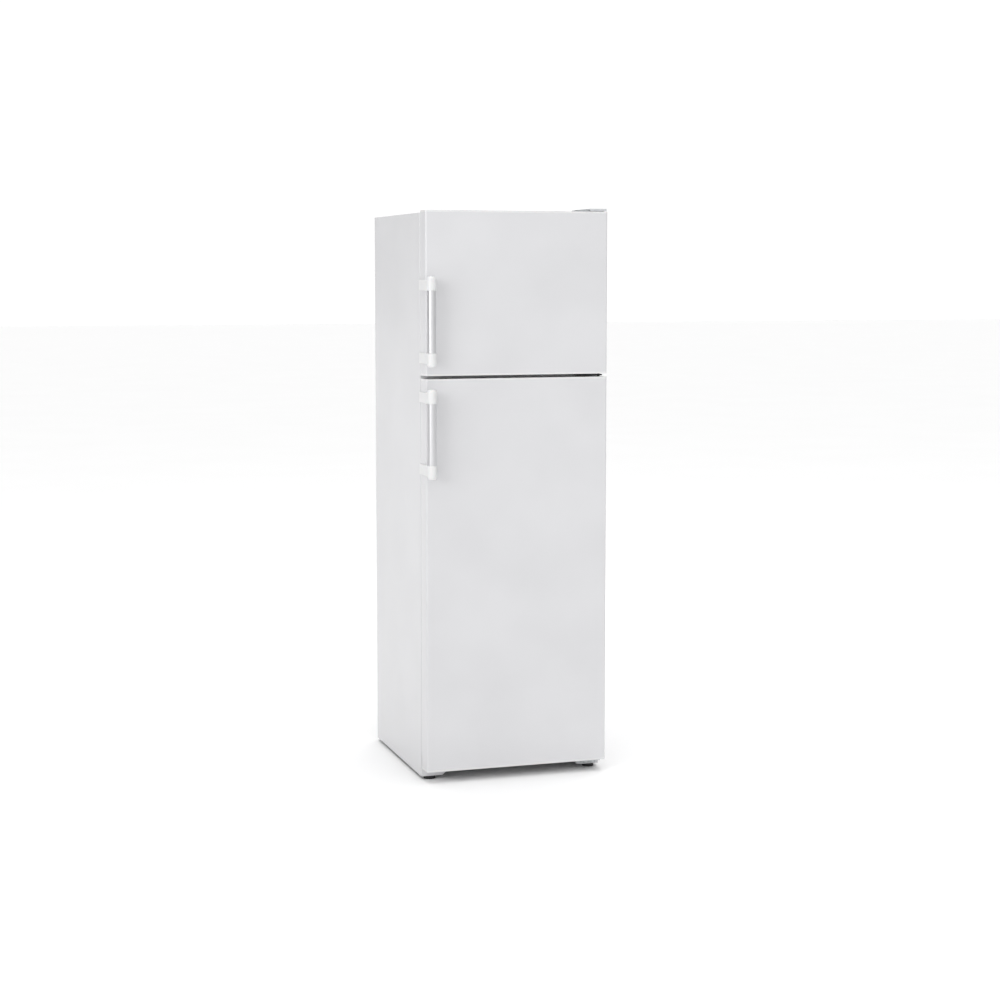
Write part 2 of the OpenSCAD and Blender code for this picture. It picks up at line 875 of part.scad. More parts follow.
// Flat strip that slides along the door's side and pushes on the cabinet
module handle_plunger() {
    x0 = -half_w - 5 + 2 + slide_fit;
    x1 = -half_w - 0.5;
    s = slot_h / 2;
    translate([0, 0, -mount_offset]) {
        span([x0, front - 12, -s], [x1, door_back, s]);
        span([x0, front - 12, -s], [x0 + 12, front - 10, s]);
    }
}

// Tube between the end pieces, with a plug and a hollow spigot at each end
module handle_tube(z) {
    half = handle_l / 2 - grip_h;
    tip = half + spigot_l;
    plug = 3;
    translate([grip_x, grip_y, z]) difference() {
        union() {
            translate([0, 0, -half]) cylinder(r = tube_r, h = 2 * half);
            translate([0, 0, -tip]) cylinder(r = spigot_r, h = 2 * tip);
        }
        translate([0, 0, plug - half]) cylinder(r = tube_r - tube_wall, h = 2 * (half - plug));
        translate([0, 0, -tip - 1]) cylinder(r = spigot_r - tube_wall, h = 2 * tip + 2);
    }
}

module freezer_handle_mounts() {
    color("white") handle_ends_at(freezer_handle_z) handle_mount();
}

module freezer_handle_ends() {
    color("white") handle_ends_at(freezer_handle_z) grip_end();
}

module freezer_handle_tube() {
    color("silver") handle_tube(freezer_handle_z);
}

module freezer_handle_plungers() {
    color("gray") handle_ends_at(freezer_handle_z) handle_plunger();
}

module fridge_handle_mounts() {
    color("white") handle_ends_at(fridge_handle_z) handle_mount();
}

module fridge_handle_ends() {
    color("white") handle_ends_at(fridge_handle_z) grip_end();
}

module fridge_handle_tube() {
    color("silver") handle_tube(fridge_handle_z);
}

module fridge_handle_plungers() {
    color("gray") handle_ends_at(fridge_handle_z) handle_plunger();
}

// ---- Interior fittings ----

module pane(z, y0) {
    span([-shelf_half + 1, y0 + 3, z], [shelf_half - 1, shelf_y1 - 3, z + glass_t]);
}

module glass_shelves() {
    color("lightcyan", 0.5) for (i = [1 : shelf_count]) pane(crisper_cover_z + i * shelf_pitch, shelf_y0);
}

module crisper_cover() {
    color("lightcyan", 0.5) pane(crisper_cover_z, shelf_y0);
}

module freezer_shelf() {
    color("lightcyan", 0.5) pane(freezer_shelf_z, shelf_y0);
}

// Front and rear edge strips of a shelf at height z
module trims(z) {
    x = shelf_half;
    difference() {
        union() {
            span([-x, shelf_y0, z - 3], [x, shelf_y0 + trim_d, z - 3 + trim_h]);
            span([-x, shelf_y1 - trim_d, z - 3], [x, shelf_y1, z - 3 + trim_h]);
        }
        pane(z, shelf_y0);
    }
}

module shelf_trims() {
    color("white") {
        for (i = [0 : shelf_count]) trims(crisper_cover_z + i * shelf_pitch);
        trims(freezer_shelf_z);
    }
}

housing_half = 110;
housing_y0 = shelf_y0 - 4;
housing_y1 = housing_y0 + 130;
housing_h = 40;
knob_r = 15;
knob_x = 60;
knob_z = fridge_z1 - housing_h / 2;
knob_d = 14;

// Ceiling unit with the thermostat and the lamp
module control_housing() {
    z0 = fridge_z1 - housing_h;
    color("white") difference() {
        span([-housing_half, housing_y0, z0], [housing_half, housing_y1, fridge_z1]);
        span([-90, housing_y0 + 25, z0 - 1], [30, housing_y1 - 15, z0 + 22]);
        translate([knob_x, housing_y0 - 1, knob_z]) rotate([-90, 0, 0])
            cylinder(r = 3 + pin_fit, h = 22);
    }
}

module lamp_cover() {
    z0 = fridge_z1 - housing_h;
    color("ghostwhite") span([-89.5, housing_y0 + 25.5, z0 - 3], [29.5, housing_y1 - 15.5, z0 + 2]);
}

module thermostat_knob() {
    color("silver") translate([knob_x, housing_y0 - 0.4, knob_z]) rotate([90, 0, 0]) {
        cylinder(r = knob_r, h = knob_d);
        translate([-2, -knob_r, knob_d - 1]) cube([4, 2 * knob_r, 4]);
        translate([0, 0, -18]) cylinder(r = 3, h = 20);
    }
}

// Open drawer with a thicker front and a grip along its upper edge
module crisper() {
    x0 = crisper_gap;
    x1 = inner_x - 6;
    w = crisper_wall;
    difference() {
        span([x0, crisper_y0, crisper_z0], [x1, crisper_y1, crisper_z1]);
        span([x0 + w, crisper_y0 + 5, crisper_z0 + w], [x1 - w, crisper_y1 - w, crisper_z1 + 1]);
        span([x0 + 60, crisper_y0 - 1, crisper_z1 - 30], [x1 - 60, crisper_y0 + 2.5, crisper_z1 - 10]);
    }
}

module right_crisper() {
    color("lightcyan", 0.6) crisper();
}

module left_crisper() {
    color("lightcyan", 0.6) mirror([1, 0, 0]) crisper();
}

side_panels();
top_panel();
rear_panel();
base_plinth();
base_frame();
divider_rail();
cabinet_insulation();
fridge_liner();
freezer_liner();
evaporators();
glass_shelves();
crisper_cover();
freezer_shelf();
shelf_trims();
control_housing();
lamp_cover();
thermostat_knob();
left_crisper();
right_crisper();
compressor();
relay_box();
compressor_mounts();
compressor_tray();
refrigerant_pipes();
filter_drier();
condenser_coil();
condenser_wires();
drain_pan();
cord_inlet();
front_left_foot();
front_right_foot();
rear_left_roller();
rear_right_roller();
top_hinge();
hinge_cover();
middle_hinge();
bottom_hinge();
hinge_screws();
freezer_door_panel();
freezer_door_caps();
freezer_door_insulation();
freezer_door_liner();
freezer_door_gasket();
freezer_door_bin();
freezer_handle_mounts();
freezer_handle_ends();
freezer_handle_tube();
freezer_handle_plungers();
fridge_door_panel();
fridge_door_caps();
fridge_door_insulation();
fridge_door_liner();
fridge_door_gasket();
upper_door_bin();
middle_door_bin();
bottle_bin();
fridge_handle_mounts();
fridge_handle_ends();
fridge_handle_tube();
fridge_handle_plungers();
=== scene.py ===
import json
import math

import bmesh
import bpy
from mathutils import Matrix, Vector


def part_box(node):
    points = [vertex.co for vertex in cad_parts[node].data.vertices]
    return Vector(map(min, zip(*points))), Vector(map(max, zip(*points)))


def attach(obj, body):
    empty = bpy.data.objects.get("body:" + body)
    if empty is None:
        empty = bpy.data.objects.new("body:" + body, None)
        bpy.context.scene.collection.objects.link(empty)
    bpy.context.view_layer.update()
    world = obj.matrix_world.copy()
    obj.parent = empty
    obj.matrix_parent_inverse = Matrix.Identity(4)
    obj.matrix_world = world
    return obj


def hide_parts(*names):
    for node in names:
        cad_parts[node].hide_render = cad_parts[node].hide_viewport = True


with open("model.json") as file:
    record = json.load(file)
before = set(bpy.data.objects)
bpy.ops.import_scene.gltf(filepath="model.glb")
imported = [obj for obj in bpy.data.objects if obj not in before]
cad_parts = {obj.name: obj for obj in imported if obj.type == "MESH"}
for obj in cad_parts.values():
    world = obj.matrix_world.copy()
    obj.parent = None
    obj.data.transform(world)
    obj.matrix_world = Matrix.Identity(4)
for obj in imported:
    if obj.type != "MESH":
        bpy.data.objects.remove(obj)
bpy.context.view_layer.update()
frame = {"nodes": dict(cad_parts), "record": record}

MM = 0.001
record = frame["record"]
SLOT_OF = {part["node"]: part["material_slot"] for part in record["subparts"]}
BODY_OF = {node: body for body, nodes in record["behaviour"]["bodies"].items() for node in nodes}


# ---------------------------------------------------------------- camera

# Where the camera stands in metres, how far it is turned and dipped in degrees, and its lens in mm
CAMERA_PLACE = (-1.9473, -6.2133, 1.599)
CAMERA_TURN = 17.7
CAMERA_DIP = 5.57
CAMERA_LENS = 71.31
CAMERA_SHIFT = -0.03


def place_camera():
    """The camera at eye height, in front and to the left."""
    data = bpy.data.cameras.new("camera")
    data.lens = CAMERA_LENS
    data.sensor_width = 36.0
    data.shift_y = CAMERA_SHIFT
    data.clip_end = 100.0
    camera = bpy.data.objects.new("camera", data)
    camera.location = CAMERA_PLACE
    camera.rotation_euler = (math.radians(90.0 - CAMERA_DIP), 0.0, math.radians(-CAMERA_TURN))
    bpy.context.scene.collection.objects.link(camera)
    bpy.context.scene.camera = camera


# ---------------------------------------------------------------- materials

def linear(code):
    """An sRGB hex value such as "E8E8EA" as a linear colour with alpha."""
    values = [int(code[i:i + 2], 16) / 255.0 for i in (0, 2, 4)]
    curve = [v / 12.92 if v <= 0.04045 else ((v + 0.055) / 1.055) ** 2.4 for v in values]
    return (*curve, 1.0)


def per_metre(size_mm):
    """The texture scale at which one pattern cell measures size_mm."""
    return 1000.0 / size_mm


def add(tree, kind, inputs=None, **settings):
    """Adds a node. An input that is given a socket is linked, and any other is set."""
    made = tree.nodes.new(kind)
    for key, value in settings.items():
        setattr(made, key, value)
    for key, value in (inputs or {}).items():
        if isinstance(value, bpy.types.NodeSocket):
            tree.links.new(value, made.inputs[key])
        else:
            made.inputs[key].default_value = value
    return made


def start(name, **shader):
    """A new material with a Principled shader, whose sockets are named in shader with _ for spaces."""
    material = bpy.data.materials.new(name)
    material.use_nodes = True
    tree = material.node_tree
    tree.nodes.clear()
    output = add(tree, "ShaderNodeOutputMaterial")
    surface = add(tree, "ShaderNodeBsdfPrincipled")
    for key, value in shader.items():
        surface.inputs[key.replace("_", " ")].default_value = value
    tree.links.new(surface.outputs["BSDF"], output.inputs["Surface"])
    place = add(tree, "ShaderNodeTexCoord").outputs["Object"]
    return material, tree, surface, place


def two_tones(tree, surface, amount, dark, light, low=0.35, high=0.65):
    """Colours the surface from dark to light as the amount rises."""
    ramp = add(tree, "ShaderNodeValToRGB", {"Fac": amount})
    ramp.color_ramp.elements[0].position = low
    ramp.color_ramp.elements[0].color = linear(dark)
    ramp.color_ramp.elements[1].position = high
    ramp.color_ramp.elements[1].color = linear(light)
    tree.links.new(ramp.outputs["Color"], surface.inputs["Base Color"])


def vary_roughness(tree, surface, amount, low, high):
    """Runs the roughness from low to high as the amount rises."""
    spread = add(tree, "ShaderNodeMapRange", {"Value": amount, "To Min": low, "To Max": high})
    tree.links.new(spread.outputs["Result"], surface.inputs["Roughness"])


def relief(tree, surface, height, depth_mm, strength=1.0):
    """Raises and sinks the surface by a pattern."""
    bump = add(tree, "ShaderNodeBump", {"Height": height, "Strength": strength, "Distance": depth_mm * MM})
    tree.links.new(bump.outputs["Normal"], surface.inputs["Normal"])


def noise(tree, place, size_mm, detail):
    """A cloudy pattern with patches of size_mm."""
    made = add(tree, "ShaderNodeTexNoise", {"Vector": place, "Scale": per_metre(size_mm), "Detail": detail})
    return made.outputs["Fac"]


def cells(tree, place, size_mm, **settings):
    """A pattern of cells of size_mm, which rises from the middle of each."""
    made = add(tree, "ShaderNodeTexVoronoi", {"Vector": place, "Scale": per_metre(size_mm)}, **settings)
    return made.outputs["Distance"]


def drawn_lines(tree, place, size_mm, detail):
    """Fine lines along the height, fifty times as long as they are wide."""
    along = add(tree, "ShaderNodeMapping", {"Vector": place, "Scale": (1.0, 1.0, 0.02)})
    return noise(tree, along.outputs["Vector"], size_mm, detail)


def worn_edges(tree, amount):
    """Rises where the surface is convex, for paint that thins on its edges."""
    point = add(tree, "ShaderNodeNewGeometry").outputs["Pointiness"]
    reach = {"Value": point, "From Min": 0.5, "From Max": 0.62, "To Max": amount}
    return add(tree, "ShaderNodeMapRange", reach).outputs["Result"]


def baked_enamel():
    """Stove-enamelled steel: a glossy white film with a faint orange-peel swell and soft reflections."""
    material, tree, surface, place = start("stove_enamelled_steel", IOR=1.5,
                                            Coat_Weight=0.25, Coat_Roughness=0.12)
    cloud = noise(tree, place, 260.0, 2.0)
    peel = noise(tree, place, 3.5, 1.5)
    two_tones(tree, surface, cloud, "D3D3D5", "D7D7D9")
    vary_roughness(tree, surface, cloud, 0.27, 0.36)
    relief(tree, surface, peel, 0.02, 0.5)
    return material


def moulded_abs():
    """Moulded white ABS: a satin skin with fine spark-erosion grain, a touch whiter than the enamel."""
    material, tree, surface, place = start("moulded_white_abs", IOR=1.54,
                                            Subsurface_Weight=0.03, Subsurface_Scale=0.002)
    # The real grain is about 0.15 mm, drawn at 0.5 mm so that it shows
    grain = noise(tree, place, 0.5, 2.0)
    cloud = noise(tree, place, 40.0, 3.0)
    two_tones(tree, surface, cloud, "DCDCDD", "E0E0E0")
    vary_roughness(tree, surface, cloud, 0.30, 0.42)
    relief(tree, surface, grain, 0.012, 0.5)
    return material


def formed_polystyrene():
    """Vacuum-formed polystyrene liner: glossy cold white with a slow ripple from the forming tool."""
    material, tree, surface, place = start("formed_polystyrene", IOR=1.59,
                                            Subsurface_Weight=0.05, Subsurface_Scale=0.003)
    ripple = noise(tree, place, 35.0, 1.0)
    film = noise(tree, place, 180.0, 2.0)
    two_tones(tree, surface, film, "EBEEF0", "F1F3F4")
    vary_roughness(tree, surface, film, 0.16, 0.26)
    relief(tree, surface, ripple, 0.15, 0.4)
    return material


def zinc_plated_steel():
    """Zinc-plated steel: grey metal with pale spangle under a fine mist."""
    material, tree, surface, place = start("zinc_plated_steel", Metallic=1.0)
    spangle = cells(tree, place, 7.0, feature="SMOOTH_F1")
    mist = noise(tree, place, 18.0, 4.0)
    tone = add(tree, "ShaderNodeMath", {0: spangle, 1: mist}, operation="MULTIPLY")
    two_tones(tree, surface, tone.outputs["Value"], "A9ACAE", "C9CBCC", 0.1, 0.5)
    vary_roughness(tree, surface, mist, 0.26, 0.46)
    relief(tree, surface, mist, 0.03, 0.3)
    return material


def rigid_foam():
    """Polyurethane foam: straw yellow with a skin of small open cells."""
    material, tree, surface, place = start("polyurethane_foam", IOR=1.45)
    bubbles = cells(tree, place, 2.0)
    two_tones(tree, surface, bubbles, "B9A566", "E0CF95", 0.1, 0.8)
    vary_roughness(tree, surface, bubbles, 0.8, 0.95)
    relief(tree, surface, bubbles, 0.4, 0.7)
    return material


def rolled_aluminium():
    """Roll-bonded aluminium: bright metal with fine rolling lines along its length."""
    material, tree, surface, place = start("roll_bonded_aluminium", Metallic=1.0)
    # Rolling lines are under 0.1 mm apart, drawn at 0.6 mm
    lines = drawn_lines(tree, place, 0.6, 3.0)
    two_tones(tree, surface, lines, "C8CACC", "DBDCDD")
    vary_roughness(tree, surface, lines, 0.28, 0.42)
    relief(tree, surface, lines, 0.01, 0.3)
    return material


def satin_aluminium():
    """Anodised satin aluminium: bright grey metal with fine drawing lines along the tube."""
    material, tree, surface, place = start("anodised_satin_aluminium", Metallic=1.0)
    # Drawing lines are under 0.1 mm apart, drawn at 0.5 mm
    lines = drawn_lines(tree, place, 0.5, 2.0)
    two_tones(tree, surface, lines, "D6D6D8", "DEDEE0")
    vary_roughness(tree, surface, lines, 0.36, 0.42)
    relief(tree, surface, lines, 0.006, 0.3)
    return material


def tempered_glass():
    """Tempered float glass: clear with a green body, and faint roller waves in its reflections."""
    material, tree, surface, place = start("tempered_glass", IOR=1.52, Transmission_Weight=1.0)
    wave = noise(tree, place, 60.0, 1.0)
    two_tones(tree, surface, wave, "D9EDE6", "E2F3EC")
    vary_roughness(tree, surface, wave, 0.01, 0.04)
    relief(tree, surface, wave, 0.05, 0.2)
    return material


def clear_styrene():
    """Injection-moulded SAN: clear, slightly blue plastic with a soft haze and flow ripples."""
    material, tree, surface, place = start("clear_moulded_san", IOR=1.45, Transmission_Weight=0.82)
    flow = noise(tree, place, 24.0, 2.0)
    two_tones(tree, surface, flow, "DCEAF1", "EAF4F8")
    vary_roughness(tree, surface, flow, 0.05, 0.16)
    relief(tree, surface, flow, 0.08, 0.25)
    return material


def opal_polycarbonate():
    """Opal polycarbonate: milky lamp cover with fine prism lines that spread the light."""
    material, tree, surface, place = start("opal_polycarbonate", IOR=1.58, Transmission_Weight=0.35)
    pitch_mm = 4.0
    prisms = add(tree, "ShaderNodeTexWave", {"Vector": place, "Scale": per_metre(pitch_mm) / math.tau})
    two_tones(tree, surface, prisms.outputs["Fac"], "F1F0EA", "FBFAF5")
    vary_roughness(tree, surface, prisms.outputs["Fac"], 0.22, 0.34)
    relief(tree, surface, prisms.outputs["Fac"], 0.3, 0.6)
    return material


def black_cathodic_paint():
    """Black dip paint on steel: thin satin film, with lint and a dull bloom, thin at the edges."""
    material, tree, surface, place = start("black_dip_painted_steel", IOR=1.5)
    bloom = noise(tree, place, 22.0, 5.0)
    tone = add(tree, "ShaderNodeMath", {0: bloom, 1: worn_edges(tree, 0.3)}, operation="ADD")
    two_tones(tree, surface, tone.outputs["Value"], "151516", "29292B", 0.35, 0.9)
    vary_roughness(tree, surface, bloom, 0.32, 0.55)
    relief(tree, surface, bloom, 0.05, 0.35)
    return material


def black_polypropylene():
    """Moulded black polypropylene: a waxy matte skin with a fine leather-like grain."""
    material, tree, surface, place = start("moulded_black_pp", IOR=1.49)
    grain = cells(tree, place, 0.9)
    cloud = noise(tree, place, 14.0, 3.0)
    two_tones(tree, surface, cloud, "161617", "222224")
    vary_roughness(tree, surface, cloud, 0.45, 0.62)
    relief(tree, surface, grain, 0.04, 0.5)
    return material


def nitrile_rubber():
    """Moulded nitrile rubber: soft black with a dusty bloom."""
    material, tree, surface, place = start("nitrile_rubber", IOR=1.52)
    dust = noise(tree, place, 6.0, 5.0)
    two_tones(tree, surface, dust, "19191A", "303031")
    vary_roughness(tree, surface, dust, 0.65, 0.85)
    relief(tree, surface, dust, 0.05, 0.5)
    return material


def grey_abs():
    """Moulded grey ABS: satin light grey with fine grain."""
    material, tree, surface, place = start("moulded_grey_abs", IOR=1.54)
    grain = noise(tree, place, 0.6, 2.0)
    cloud = noise(tree, place, 25.0, 3.0)
    two_tones(tree, surface, cloud, "C3C5C8", "CFD1D3")
    vary_roughness(tree, surface, cloud, 0.34, 0.46)
    relief(tree, surface, grain, 0.015, 0.5)
    return material


def soft_pvc():
    """Extruded soft PVC gasket: pale grey, with faint draw lines and a slight oily sheen."""
    material, tree, surface, place = start("extruded_soft_pvc", IOR=1.53, Sheen_Weight=0.1)
    lines = noise(tree, place, 5.0, 4.0)
    two_tones(tree, surface, lines, "D6D7D7", "DFE0E0")
    vary_roughness(tree, surface, lines, 0.45, 0.6)
    relief(tree, surface, lines, 0.04, 0.3)
    return material


def drawn_copper():
    """Drawn copper tube: warm metal with brown oxide patches and draw marks."""
    material, tree, surface, place = start("drawn_copper", Metallic=1.0)
    oxide = noise(tree, place, 16.0, 5.0)
    two_tones(tree, surface, oxide, "8A4C32", "C9825F", 0.3, 0.6)
    vary_roughness(tree, surface, oxide, 0.22, 0.45)
    relief(tree, surface, oxide, 0.03, 0.3)
    return material


def galvanised_back():
    """Galvanised back sheet: pale grey, faintly mottled, with a thin lacquer."""
    material, tree, surface, place = start("lacquered_galvanised_sheet", Metallic=0.35, IOR=1.5)
    spangle = cells(tree, place, 12.0, feature="SMOOTH_F1")
    two_tones(tree, surface, spangle, "B4B6B7", "C9CACA", 0.2, 0.8)
    vary_roughness(tree, surface, spangle, 0.36, 0.52)
    relief(tree, surface, spangle, 0.02, 0.3)
    return material


FINISHES = {
    "white_steel": baked_enamel(), "white_plastic": moulded_abs(), "liner_plastic": formed_polystyrene(),
    "zinc_steel": zinc_plated_steel(), "foam": rigid_foam(), "aluminium_sheet": rolled_aluminium(),
    "satin_aluminium": satin_aluminium(), "shelf_glass": tempered_glass(), "clear_plastic": clear_styrene(),
    "opal_plastic": opal_polycarbonate(), "black_steel": black_cathodic_paint(),
    "black_plastic": black_polypropylene(),
    "black_rubber": nitrile_rubber(), "grey_plastic": grey_abs(), "gasket_rubber": soft_pvc(),
    "copper_pipe": drawn_copper(), "back_sheet": galvanised_back(),
}


# ---------------------------------------------------------------- mesh tools

def shade(mesh, sharp):
    """Smooth shading up to an angle, weighted by area to keep large faces flat beside rounded edges."""
    limit = math.cos(math.radians(sharp))
    around = [[] for _ in mesh.vertices]
    for face in mesh.polygons:
        for corner in face.vertices:
            around[corner].append((face.normal.copy(), face.area))
    normals = []
    for face in mesh.polygons:
        own = face.normal.copy()
        for corner in face.vertices:
            total = Vector((0.0, 0.0, 0.0))
            for normal, area in around[corner]:
                if normal.dot(own) > limit:
                    total += normal * area
            normals.append(total.normalized() if total.length > 0.0 else own)
    mesh.shade_smooth()
    mesh.normals_split_custom_set(normals)


def finish_mesh(name, bm, slot, body, sharp=50.0):
    """Turns a bmesh into a piece that rides on a body, with smooth faces and edges sharp above an angle."""
    bmesh.ops.recalc_face_normals(bm, faces=bm.faces)
    mesh = bpy.data.meshes.new(name)
    bm.to_mesh(mesh)
    bm.free()
    shade(mesh, sharp)
    piece = bpy.data.objects.new(name, mesh)
    bpy.context.scene.collection.objects.link(piece)
    mesh.materials.append(FINISHES[slot])
    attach(piece, body)
    return piece


def stand_for(bm, node, sharp=50.0):
    """A piece made from a bmesh that is shown in place of a CAD node."""
    piece = finish_mesh("made_" + node, bm, SLOT_OF[node], BODY_OF[node], sharp)
    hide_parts(node)
    return piece


def rounded_box(bm, low, high, radius, steps=3):
    """Adds a box between two corners with its edges rounded, all in metres."""
    low, high = Vector(low), Vector(high)
    size = high - low
    verts = bmesh.ops.create_cube(bm, size=1.0)["verts"]
    for vert in verts:
        vert.co = Vector(low[i] + (vert.co[i] + 0.5) * size[i] for i in range(3))
    edges = list({edge for vert in verts for edge in vert.link_edges})
    limit = min(radius, 0.45 * min(size))
    bmesh.ops.bevel(bm, geom=edges, offset=limit, segments=steps, profile=0.5, affect="EDGES")


def softened(node, radius_mm, steps=2, angle=30.0):
    """The CAD node's own shape, as clean faces with their sharp edges rounded."""
    bm = bmesh.new()
    bm.from_mesh(frame["nodes"][node].data)
    bmesh.ops.remove_doubles(bm, verts=bm.verts, dist=1e-6)
    bmesh.ops.dissolve_limit(bm, angle_limit=math.radians(1.0), verts=bm.verts, edges=bm.edges)
    turn = math.radians(angle)
    edges = [e for e in bm.edges if len(e.link_faces) == 2 and e.calc_face_angle(0.0) > turn]
    bmesh.ops.bevel(bm, geom=edges, offset=radius_mm * MM, segments=steps, profile=0.5,
                    affect="EDGES", clamp_overlap=True)
    return bm


def quads(bm, lower, upper):
    """Joins two closed rows of verts."""
    for i in range(len(lower)):
        j = (i + 1) % len(lower)
        bm.faces.new((lower[i], lower[j], upper[j], upper[i]))


def loft(bm, rings):
    """Joins rings of equal length, and closes the first and last ring."""
    rows = [[bm.verts.new(point) for point in ring] for ring in rings]
    for lower, upper in zip(rows, rows[1:]):
        quads(bm, lower, upper)
    bm.faces.new(rows[0])
    bm.faces.new(list(reversed(rows[-1])))
    return rows


def loop_round(bm, rings):
    """Joins rings of equal length, and the last ring to the first."""
    rows = [[bm.verts.new(point) for point in ring] for ring in rings]
    for lower, upper in zip(rows, rows[1:] + rows[:1]):
        quads(bm, lower, upper)


def round_rectangle(x0, x1, y0, y1, z, radius, steps=5):
    """Points round a rectangle with rounded corners, level at height z."""
    points = []
    corners = ((x1 - radius, y1 - radius, 0), (x0 + radius, y1 - radius, 90),
               (x0 + radius, y0 + radius, 180), (x1 - radius, y0 + radius, 270))
    for cx, cy, first in corners:
        for k in range(steps + 1):
            a = math.radians(first + 90.0 * k / steps)
            points.append(Vector((cx + radius * math.cos(a), cy + radius * math.sin(a), z)))
    return points


def lathe(bm, profile, centre, axis="Z", sides=48):
    """Turns (radius, height) points round an axis through centre, from the axis back to the axis."""
    rings = []
    for radius, height in profile[1:-1]:
        ring = []
        for k in range(sides):
            a = math.tau * k / sides
            ring.append(on_axis(radius * math.cos(a), radius * math.sin(a), height, centre, axis))
        rings.append([bm.verts.new(p) for p in ring])
    for lower, upper in zip(rings, rings[1:]):
        quads(bm, lower, upper)
    for ring, (_, height) in ((rings[0], profile[0]), (rings[-1], profile[-1])):
        tip = bm.verts.new(on_axis(0.0, 0.0, height, centre, axis))
        for i in range(sides):
            bm.faces.new((ring[i], ring[(i + 1) % sides], tip))


def fluted(bm, rows, radius, depth, centre, axis, sides):
    """A turned shape from rows of (share of the radius, height), with flutes cut where it is widest."""
    flutes, cut_above = 24, 0.9
    rings = []
    for share, height in rows:
        ring = []
        for k in range(sides):
            a = math.tau * k / sides
            cut = depth * (0.5 + 0.5 * math.cos(flutes * a)) if share > cut_above else 0.0
            r = radius * share - cut
            ring.append(on_axis(r * math.cos(a), r * math.sin(a), height, centre, axis))
        rings.append(ring)
    loft(bm, rings)


def on_axis(u, v, w, centre, axis):
    """A point u and v across an axis and w along it."""
    offset = {"X": (w, u, v), "Y": (u, w, v), "Z": (u, v, w)}[axis]
    return Vector(centre) + Vector(offset)


def middle_of(low, high, **given):
    """The middle of a box, with any coordinate that is given in its place."""
    point = (low + high) / 2.0
    for axis, value in given.items():
        setattr(point, axis, value)
    return point


def fillet_path(points, radius, steps=4):
    """An open path in a plane with its inner corners turned into arcs."""
    points = [Vector(p) for p in points]
    path = [points[0]]
    for before, corner, after in zip(points, points[1:], points[2:]):
        a, b = (before - corner).normalized(), (after - corner).normalized()
        half = a.angle(b) / 2.0
        back = radius / math.tan(half)
        centre = corner + (a + b).normalized() * (radius / math.sin(half))
        p, q = corner + a * back - centre, corner + b * back - centre
        total = p.angle(q)
        for k in range(steps + 1):
            t = k / steps
            blend = p * math.sin((1.0 - t) * total) + q * math.sin(t * total)
            path.append(centre + blend / math.sin(total))
    path.append(points[-1])
    return path


def bent_sheet(bm, corners, radius, thickness, start_at, end_at, lift):
    """A sheet bent along corners given as 2D points, with its inside to the left of the path.
    lift(point, t) puts a 2D point into space at t, which runs from start_at to end_at."""
    inner_corners = offset_corners(corners, thickness)
    outer = fillet_path([(*c, 0.0) for c in corners], radius)
    inner = fillet_path([(*c, 0.0) for c in inner_corners], max(radius - thickness, 0.2 * MM))
    outline = outer + inner[::-1]
    loft(bm, [[lift(p, start_at) for p in outline], [lift(p, end_at) for p in outline]])


def offset_corners(corners, distance):
    """The corners of an open path moved to its left by distance."""
    moved = []
    last = len(corners) - 1
    for i, corner in enumerate(corners):
        sides = []
        for a, b in ((max(i - 1, 0), max(i, 1)), (min(i, last - 1), min(i + 1, last))):
            step = (Vector(corners[b]) - Vector(corners[a])).normalized()
            sides.append(Vector((-step.y, step.x)))
        mean = (sides[0] + sides[1]).normalized()
        moved.append(Vector(corner) + mean * (distance / mean.dot(sides[0])))
    return moved


def upright(point, z):
    """A point of a plan at height z."""
    return Vector((point[0], point[1], z))


def hollow(bm, low, high):
    """Cuts a box out of a bmesh."""
    tool = bmesh.new()
    rounded_box(tool, low, high, 0.3 * MM, 1)
    pair = []
    for name, shape in (("whole", bm), ("tool", tool)):
        bmesh.ops.recalc_face_normals(shape, faces=shape.faces)
        mesh = bpy.data.meshes.new(name)
        shape.to_mesh(mesh)
        made = bpy.data.objects.new(name, mesh)
        bpy.context.scene.collection.objects.link(made)
        pair.append(made)
    tool.free()
    whole, cutter = pair
    modifier = whole.modifiers.new("hollow", "BOOLEAN")
    modifier.operation = "DIFFERENCE"
    modifier.object = cutter
    modifier.solver = "EXACT"
    result = whole.evaluated_get(bpy.context.evaluated_depsgraph_get()).to_mesh()
    bm.clear()
    bm.from_mesh(result)
    for made in pair:
        bpy.data.objects.remove(made)


def join(bm, other):
    """Adds another bmesh to one, and frees it."""
    mesh = bpy.data.meshes.new("joined")
    other.to_mesh(mesh)
    other.free()
    bm.from_mesh(mesh)
    bpy.data.meshes.remove(mesh)


# ---------------------------------------------------------------- cabinet

SHEET = 1.0 * MM


def side_panels():
    """Two upright sheets, hemmed at the back and bent round the front frame above the skirt."""
    low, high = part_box("side_panels")
    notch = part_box("base_plinth")[1].z
    return_w, hem, fold = 28.0 * MM, 12.0 * MM, 2.5 * MM
    bm = bmesh.new()
    for side in (1.0, -1.0):
        corners = [((high.x - return_w) * side, low.y), (high.x * side, low.y),
                   (high.x * side, high.y), ((high.x - hem) * side, high.y)]
        bent_sheet(bm, corners, fold, SHEET * side, notch, high.z, upright)
        bent_sheet(bm, corners[1:], fold, SHEET * side, low.z, notch, upright)
    stand_for(bm, "side_panels")


def soft_node(node, radius_mm, steps=2):
    """The CAD node's shape with rounded edges, in its place."""
    stand_for(softened(node, radius_mm, steps), node)


